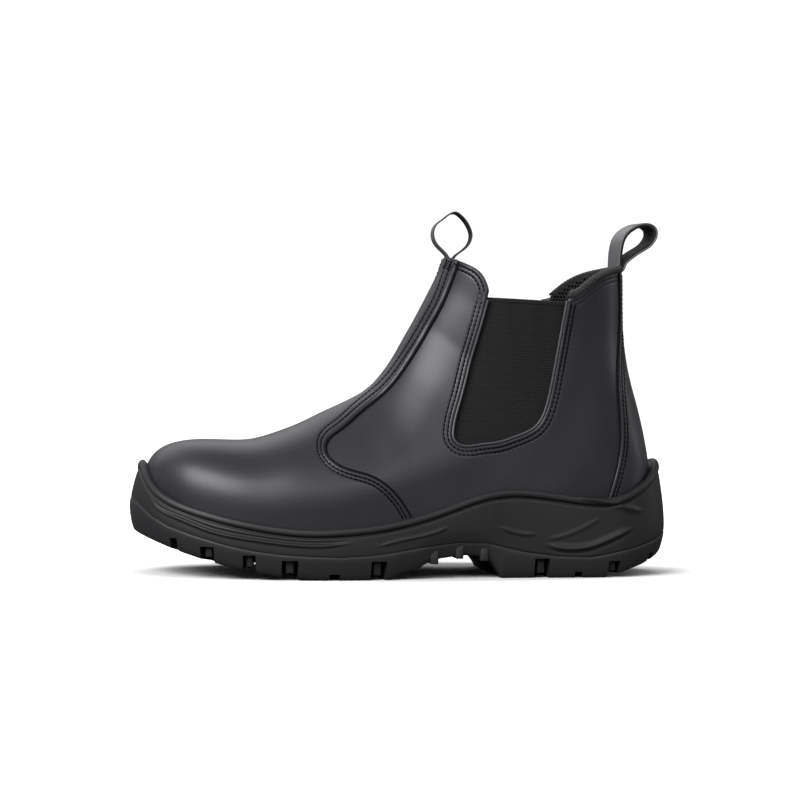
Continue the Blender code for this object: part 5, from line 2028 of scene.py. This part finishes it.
    def build(self, finish: Material) -> None:
        """Builds the tread with its gaps, blocks, hollows, lugs and bars.

        Args:
            finish: the rubber.
        """
        tread = self.slab(finish)
        cuts, blocks = [], []
        for side in (-1, 1):
            for x, width, height, depth in self.gaps:
                place, turn, outward = self.frame(side, x)
                middle = place - outward * (depth - self.overcut) / 2
                middle.z += (height - self.GAP_BELOW) / 2
                size = (width, depth + self.overcut, height + self.GAP_BELOW)
                cuts.append(self.box(size, middle, turn, self.SOFT_EDGE))
                if width < self.block_from:
                    continue
                tall = height * self.BLOCK_HEIGHT_SHARE
                centre = place - outward * (self.BLOCK_BACK + FOOT_TUCK + self.BLOCK_DEPTH / 2)
                centre.z += height + self.BLOCK_OVERLAP - tall / 2
                size = (width * self.BLOCK_WIDTH_SHARE, self.BLOCK_DEPTH, tall)
                blocks.append(self.box(size, centre, turn, self.BLOCK_SOFT_EDGE))
        self.cut(tread, mesh_piece("gap_tool", joined(cuts), finish))
        hollows = [self.hollow(first, last) for first, last, _ in self.recesses]
        self.cut(tread, mesh_piece("hollow_tool", joined(hollows), finish))
        for face in tread.data.polygons:
            face.use_smooth = True
        lugs = mesh_piece("tread_lugs", joined(blocks + self.lugs() + self.arch()), finish)
        dressed = ((tread, self.SHARP_TREAD, ("outsole",)), (lugs, self.SHARP_LUGS, ()))
        for obj, angle, nodes in dressed:
            crisp = obj.modifiers.new("crisp_edges", "EDGE_SPLIT")
            crisp.split_angle = math.radians(angle)
            ride(obj, Slot.OUTSOLE.value, *nodes)

    def lugs(self) -> list[Form]:
        """Lugs that stand in the hollows under the tread.

        Returns:
            The forms.
        """
        made = []
        for first, last, number in self.recesses:
            pitch = (last - first) / (number + 1)
            for n in range(number):
                x = first + pitch * (n + 1)
                low, high = self.edge.edge_y(x, 1), self.edge.edge_y(x, 2)
                width = (high - low - 2 * self.recess_inset) * self.LUG_WIDTH_SHARE
                slope = math.atan2(float(ground_height(x + 1.0) - ground_height(x - 1.0)), 2.0)
                tall = self.recess_depth + self.LUG_OVERLAP
                place = (x, (low + high) / 2, float(ground_height(x)) + tall / 2)
                size = (self.LUG_LENGTH, width, tall)
                turn = Matrix.Rotation(-slope, 4, "Y")
                made.append(self.box(size, place, turn, self.LUG_SOFT_EDGE))
        return made

    def arch(self) -> list[Form]:
        """Bars across the arch.

        Returns:
            The forms.
        """
        made = []
        for x in self.bars:
            low, high = self.edge.edge_y(x, 1), self.edge.edge_y(x, 2)
            thick, tall = self.BAR
            middle = (x, (low + high) / 2, float(ground_height(x)) - self.BAR_DROP + tall / 2)
            size = (thick, high - low - self.BAR_SHORTER, tall)
            made.append(self.box(size, middle, Matrix.Identity(4), self.SOFT_EDGE))
        return made


@dataclass
class Studio:
    """Camera, lights and the pale floor."""

    eye: tuple[float, float, float] = (-263.7, -1475.4, 135.2)
    target: tuple[float, float, float] = (-3.34, 1.28, 95.9)
    lens: float = 119.0
    roll: float = 0.8
    shift: tuple[float, float] = (0.00375, 0.00375)
    fill: float = 0.22
    white: float = 1.1
    # Half sizes in metres of the painted shadow's ellipse on the floor, and the shares of it where the
    # floor's glow starts and reaches full white.
    shade: tuple[float, float] = (0.165, 0.062)
    painted_shadow_from: float = 0.88
    painted_shadow_to: float = 1.3
    floor_bounce: float = 0.12
    floor_reach: float = 6.0
    floor_tone: float = 0.9
    floor_roughness: float = 0.9
    sensor: float = 36.0
    far_clip: float = 20.0

    # Name, place and size in metres, and power.
    LIGHTS = (
        ("key_box", (-1.15, -1.10, 1.22), (1.5, 1.1), 47.0),
        ("front_card", (0.30, -1.35, 0.85), (1.0, 0.4), 3.5),
        ("back_box", (-0.4, 1.2, 1.05), (1.8, 1.0), 6.0),
        ("rear_strip", (1.5, 0.1, 0.7), (0.4, 1.1), 2.5),
    )
    LIT_PLACE = Vector((0.0, 0.0, 0.08))
    WHITE = (1.0, 1.0, 1.0, 1.0)
    COOL_WHITE = (0.97, 0.97, 1.0, 1.0)

    def build(self) -> None:
        """Builds the whole studio."""
        self.build_camera()
        self.build_floor()
        self.build_lights()

    def build_camera(self) -> None:
        """The photograph's camera."""
        data = bpy.data.cameras.new("camera")
        data.lens = self.lens
        data.sensor_width = self.sensor
        data.shift_x, data.shift_y = self.shift
        data.clip_end = self.far_clip
        camera = bpy.data.objects.new("camera", data)
        bpy.context.scene.collection.objects.link(camera)
        eye, target = Vector(self.eye) * MM, Vector(self.target) * MM
        turn = (target - eye).to_track_quat("-Z", "Y").to_matrix().to_4x4()
        roll = Matrix.Rotation(math.radians(self.roll), 4, "Z")
        camera.matrix_world = Matrix.Translation(eye) @ turn @ roll
        bpy.context.scene.camera = camera

    def build_floor(self) -> None:
        """A large pale floor that glows white to the camera, with a painted shadow under the boot where its
        glow fades out.
        """
        mesh = bpy.data.meshes.new("studio_floor")
        reach = self.floor_reach
        corners = [(-reach, -reach, 0), (reach, -reach, 0), (reach, reach, 0), (-reach, reach, 0)]
        mesh.from_pydata(corners, [], [(0, 1, 2, 3)])
        floor = bpy.data.objects.new("studio_floor", mesh)
        bpy.context.scene.collection.objects.link(floor)
        finish = bpy.data.materials.new("pale_floor")
        finish.use_nodes = True
        tree = finish.node_tree
        shader = tree.nodes["Principled BSDF"]
        shader.inputs["Base Color"].default_value = (self.floor_tone,) * 3 + (1.0,)
        shader.inputs["Roughness"].default_value = self.floor_roughness
        shader.inputs["Emission Color"].default_value = self.WHITE
        # The glow fades to nothing in an ellipse under the boot: a painted shadow.
        scaled = tree.nodes.new("ShaderNodeVectorMath")
        scaled.operation = "DIVIDE"
        scaled.inputs[1].default_value = (*self.shade, 1.0)
        tree.links.new(tree.nodes.new("ShaderNodeTexCoord").outputs["Object"], scaled.inputs[0])
        length = tree.nodes.new("ShaderNodeVectorMath")
        length.operation = "LENGTH"
        tree.links.new(scaled.outputs["Vector"], length.inputs[0])
        glow = tree.nodes.new("ShaderNodeMapRange")
        glow.inputs["From Min"].default_value = self.painted_shadow_from
        glow.inputs["From Max"].default_value = self.painted_shadow_to
        glow.inputs["To Min"].default_value = 0.0
        glow.inputs["To Max"].default_value = self.white
        tree.links.new(length.outputs["Value"], glow.inputs["Value"])
        tree.links.new(glow.outputs["Result"], shader.inputs["Emission Strength"])
        dim = tree.nodes.new("ShaderNodeBsdfDiffuse")
        dim.inputs["Color"].default_value = (self.floor_bounce,) * 3 + (1.0,)
        self.mix_by_camera(tree, dim.outputs[0], shader.outputs[0], tree.nodes["Material Output"])
        mesh.materials.append(finish)
        floor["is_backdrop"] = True

    def mix_by_camera(self, tree: Tree, other: Socket, seen: Socket, out: Node) -> None:
        """Shows one shader to the camera and another to the light that bounces.

        Args:
            tree: where both shaders are.
            other: what bounced light meets.
            seen: what the camera sees.
            out: the output node.
        """
        path = tree.nodes.new("ShaderNodeLightPath")
        mix = tree.nodes.new("ShaderNodeMixShader")
        tree.links.new(path.outputs["Is Camera Ray"], mix.inputs[0])
        tree.links.new(other, mix.inputs[1])
        tree.links.new(seen, mix.inputs[2])
        tree.links.new(mix.outputs[0], out.inputs["Surface"])

    def build_lights(self) -> None:
        """Large soft lights, and a white surround."""
        world = bpy.data.worlds.new("studio_white")
        world.use_nodes = True
        tree = world.node_tree
        seen = tree.nodes["Background"]
        seen.inputs["Color"].default_value = self.WHITE
        seen.inputs["Strength"].default_value = self.white
        fill = tree.nodes.new("ShaderNodeBackground")
        fill.inputs["Color"].default_value = self.COOL_WHITE
        fill.inputs["Strength"].default_value = self.fill
        self.mix_by_camera(tree, fill.outputs[0], seen.outputs[0], tree.nodes["World Output"])
        bpy.context.scene.world = world
        for name, place, size, power in self.LIGHTS:
            data = bpy.data.lights.new(name, "AREA")
            data.shape = "RECTANGLE"
            data.size, data.size_y = size
            data.energy = power
            lamp = bpy.data.objects.new(name, data)
            bpy.context.scene.collection.objects.link(lamp)
            lamp.location = place
            aim = self.LIT_PLACE - Vector(place)
            lamp.rotation_euler = aim.to_track_quat("-Z", "Y").to_euler()
        scene = bpy.context.scene
        scene.view_settings.view_transform = "Standard"
        scene.view_settings.look = "None"


def main() -> None:
    """Builds the classes in order."""
    logging.basicConfig(level=logging.INFO, format="%(name)s %(message)s")
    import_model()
    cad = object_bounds()
    effects = EffectGroups()
    looks = {finish.name: finish.build(effects) for finish in FINISHES}
    leather = looks["satin_black_leather"]
    Studio().build()
    surface = LastSurface()
    upper = Upper(surface)
    upper.build_shell(leather)
    upper.build_overlay("leather_vamp", Upper.VAMP, leather)
    upper.build_overlay("leather_back_stay", Upper.STAY, leather)
    sewing = Stitches(surface, upper.collar_roof)
    sewing.build(upper.seams(), looks["sewing_thread"], looks["needle_hole_painted_shade"])
    folded = upper.notch_line[upper.notch_line[:, 1] < Upper.NOTCH_FOLDED_TO]
    for name, line, sizes, finish in (
        # Dark tubes: the dyed cut edge, and painted shade beside the step of the overlay.
        ("vamp_cut_edge_and_painted_shade", upper.vamp_line, Edge(-0.2, 0.2, 0.85), "dyed_edge_and_painted_shade"),
        ("back_stay_cut_edge_and_painted_shade", upper.stay_line, Edge(-0.15, 0.45, 0.55), "dyed_edge_and_painted_shade"),
        # A lighter leather tube along the fold: a painted highlight.
        ("elastic_opening_fold_painted_highlight", folded, Edge(-0.55, -0.35, 0.75), "folded_edge_painted_highlight"),
    ):
        sewing.edging(name, line, sizes, looks[finish])
    Gores(surface).build(looks["ribbed_elastic"])
    back_collar = smooth_line(COLLAR_BACK, 60)
    CollarLining(surface, back_collar).build(looks["spacer_mesh"], looks["needle_hole_painted_shade"])
    Binding(surface, back_collar).build(looks["collar_textile"])
    front = PullLoop("front_loop", "front_pull_loop", FRONT_LOOP, twist=-0.12,
                     tail_low=164.0, tail_high=178.6, behind=False, thickness=0.9)
    back = PullLoop("back_loop", "back_pull_loop", BACK_LOOP, twist=0.08,
                    tail_low=158.0, tail_high=172.6, behind=True, thickness=2.2)
    for loop in (front, back):
        loop.build(surface, looks["loop_leather"], looks["loop_webbing"])
    Insole(surface, upper.feather_line).build(looks["footbed_cloth"])
    edge = SoleEdge()
    Midsole(edge).build(looks["moulded_midsole"])
    Outsole(edge).build(looks["rubber_outsole"])
    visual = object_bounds()
    sizes = {"cad": [list(corner) for corner in cad], "visual": [list(corner) for corner in visual]}


if __name__ == "__main__":
    main()
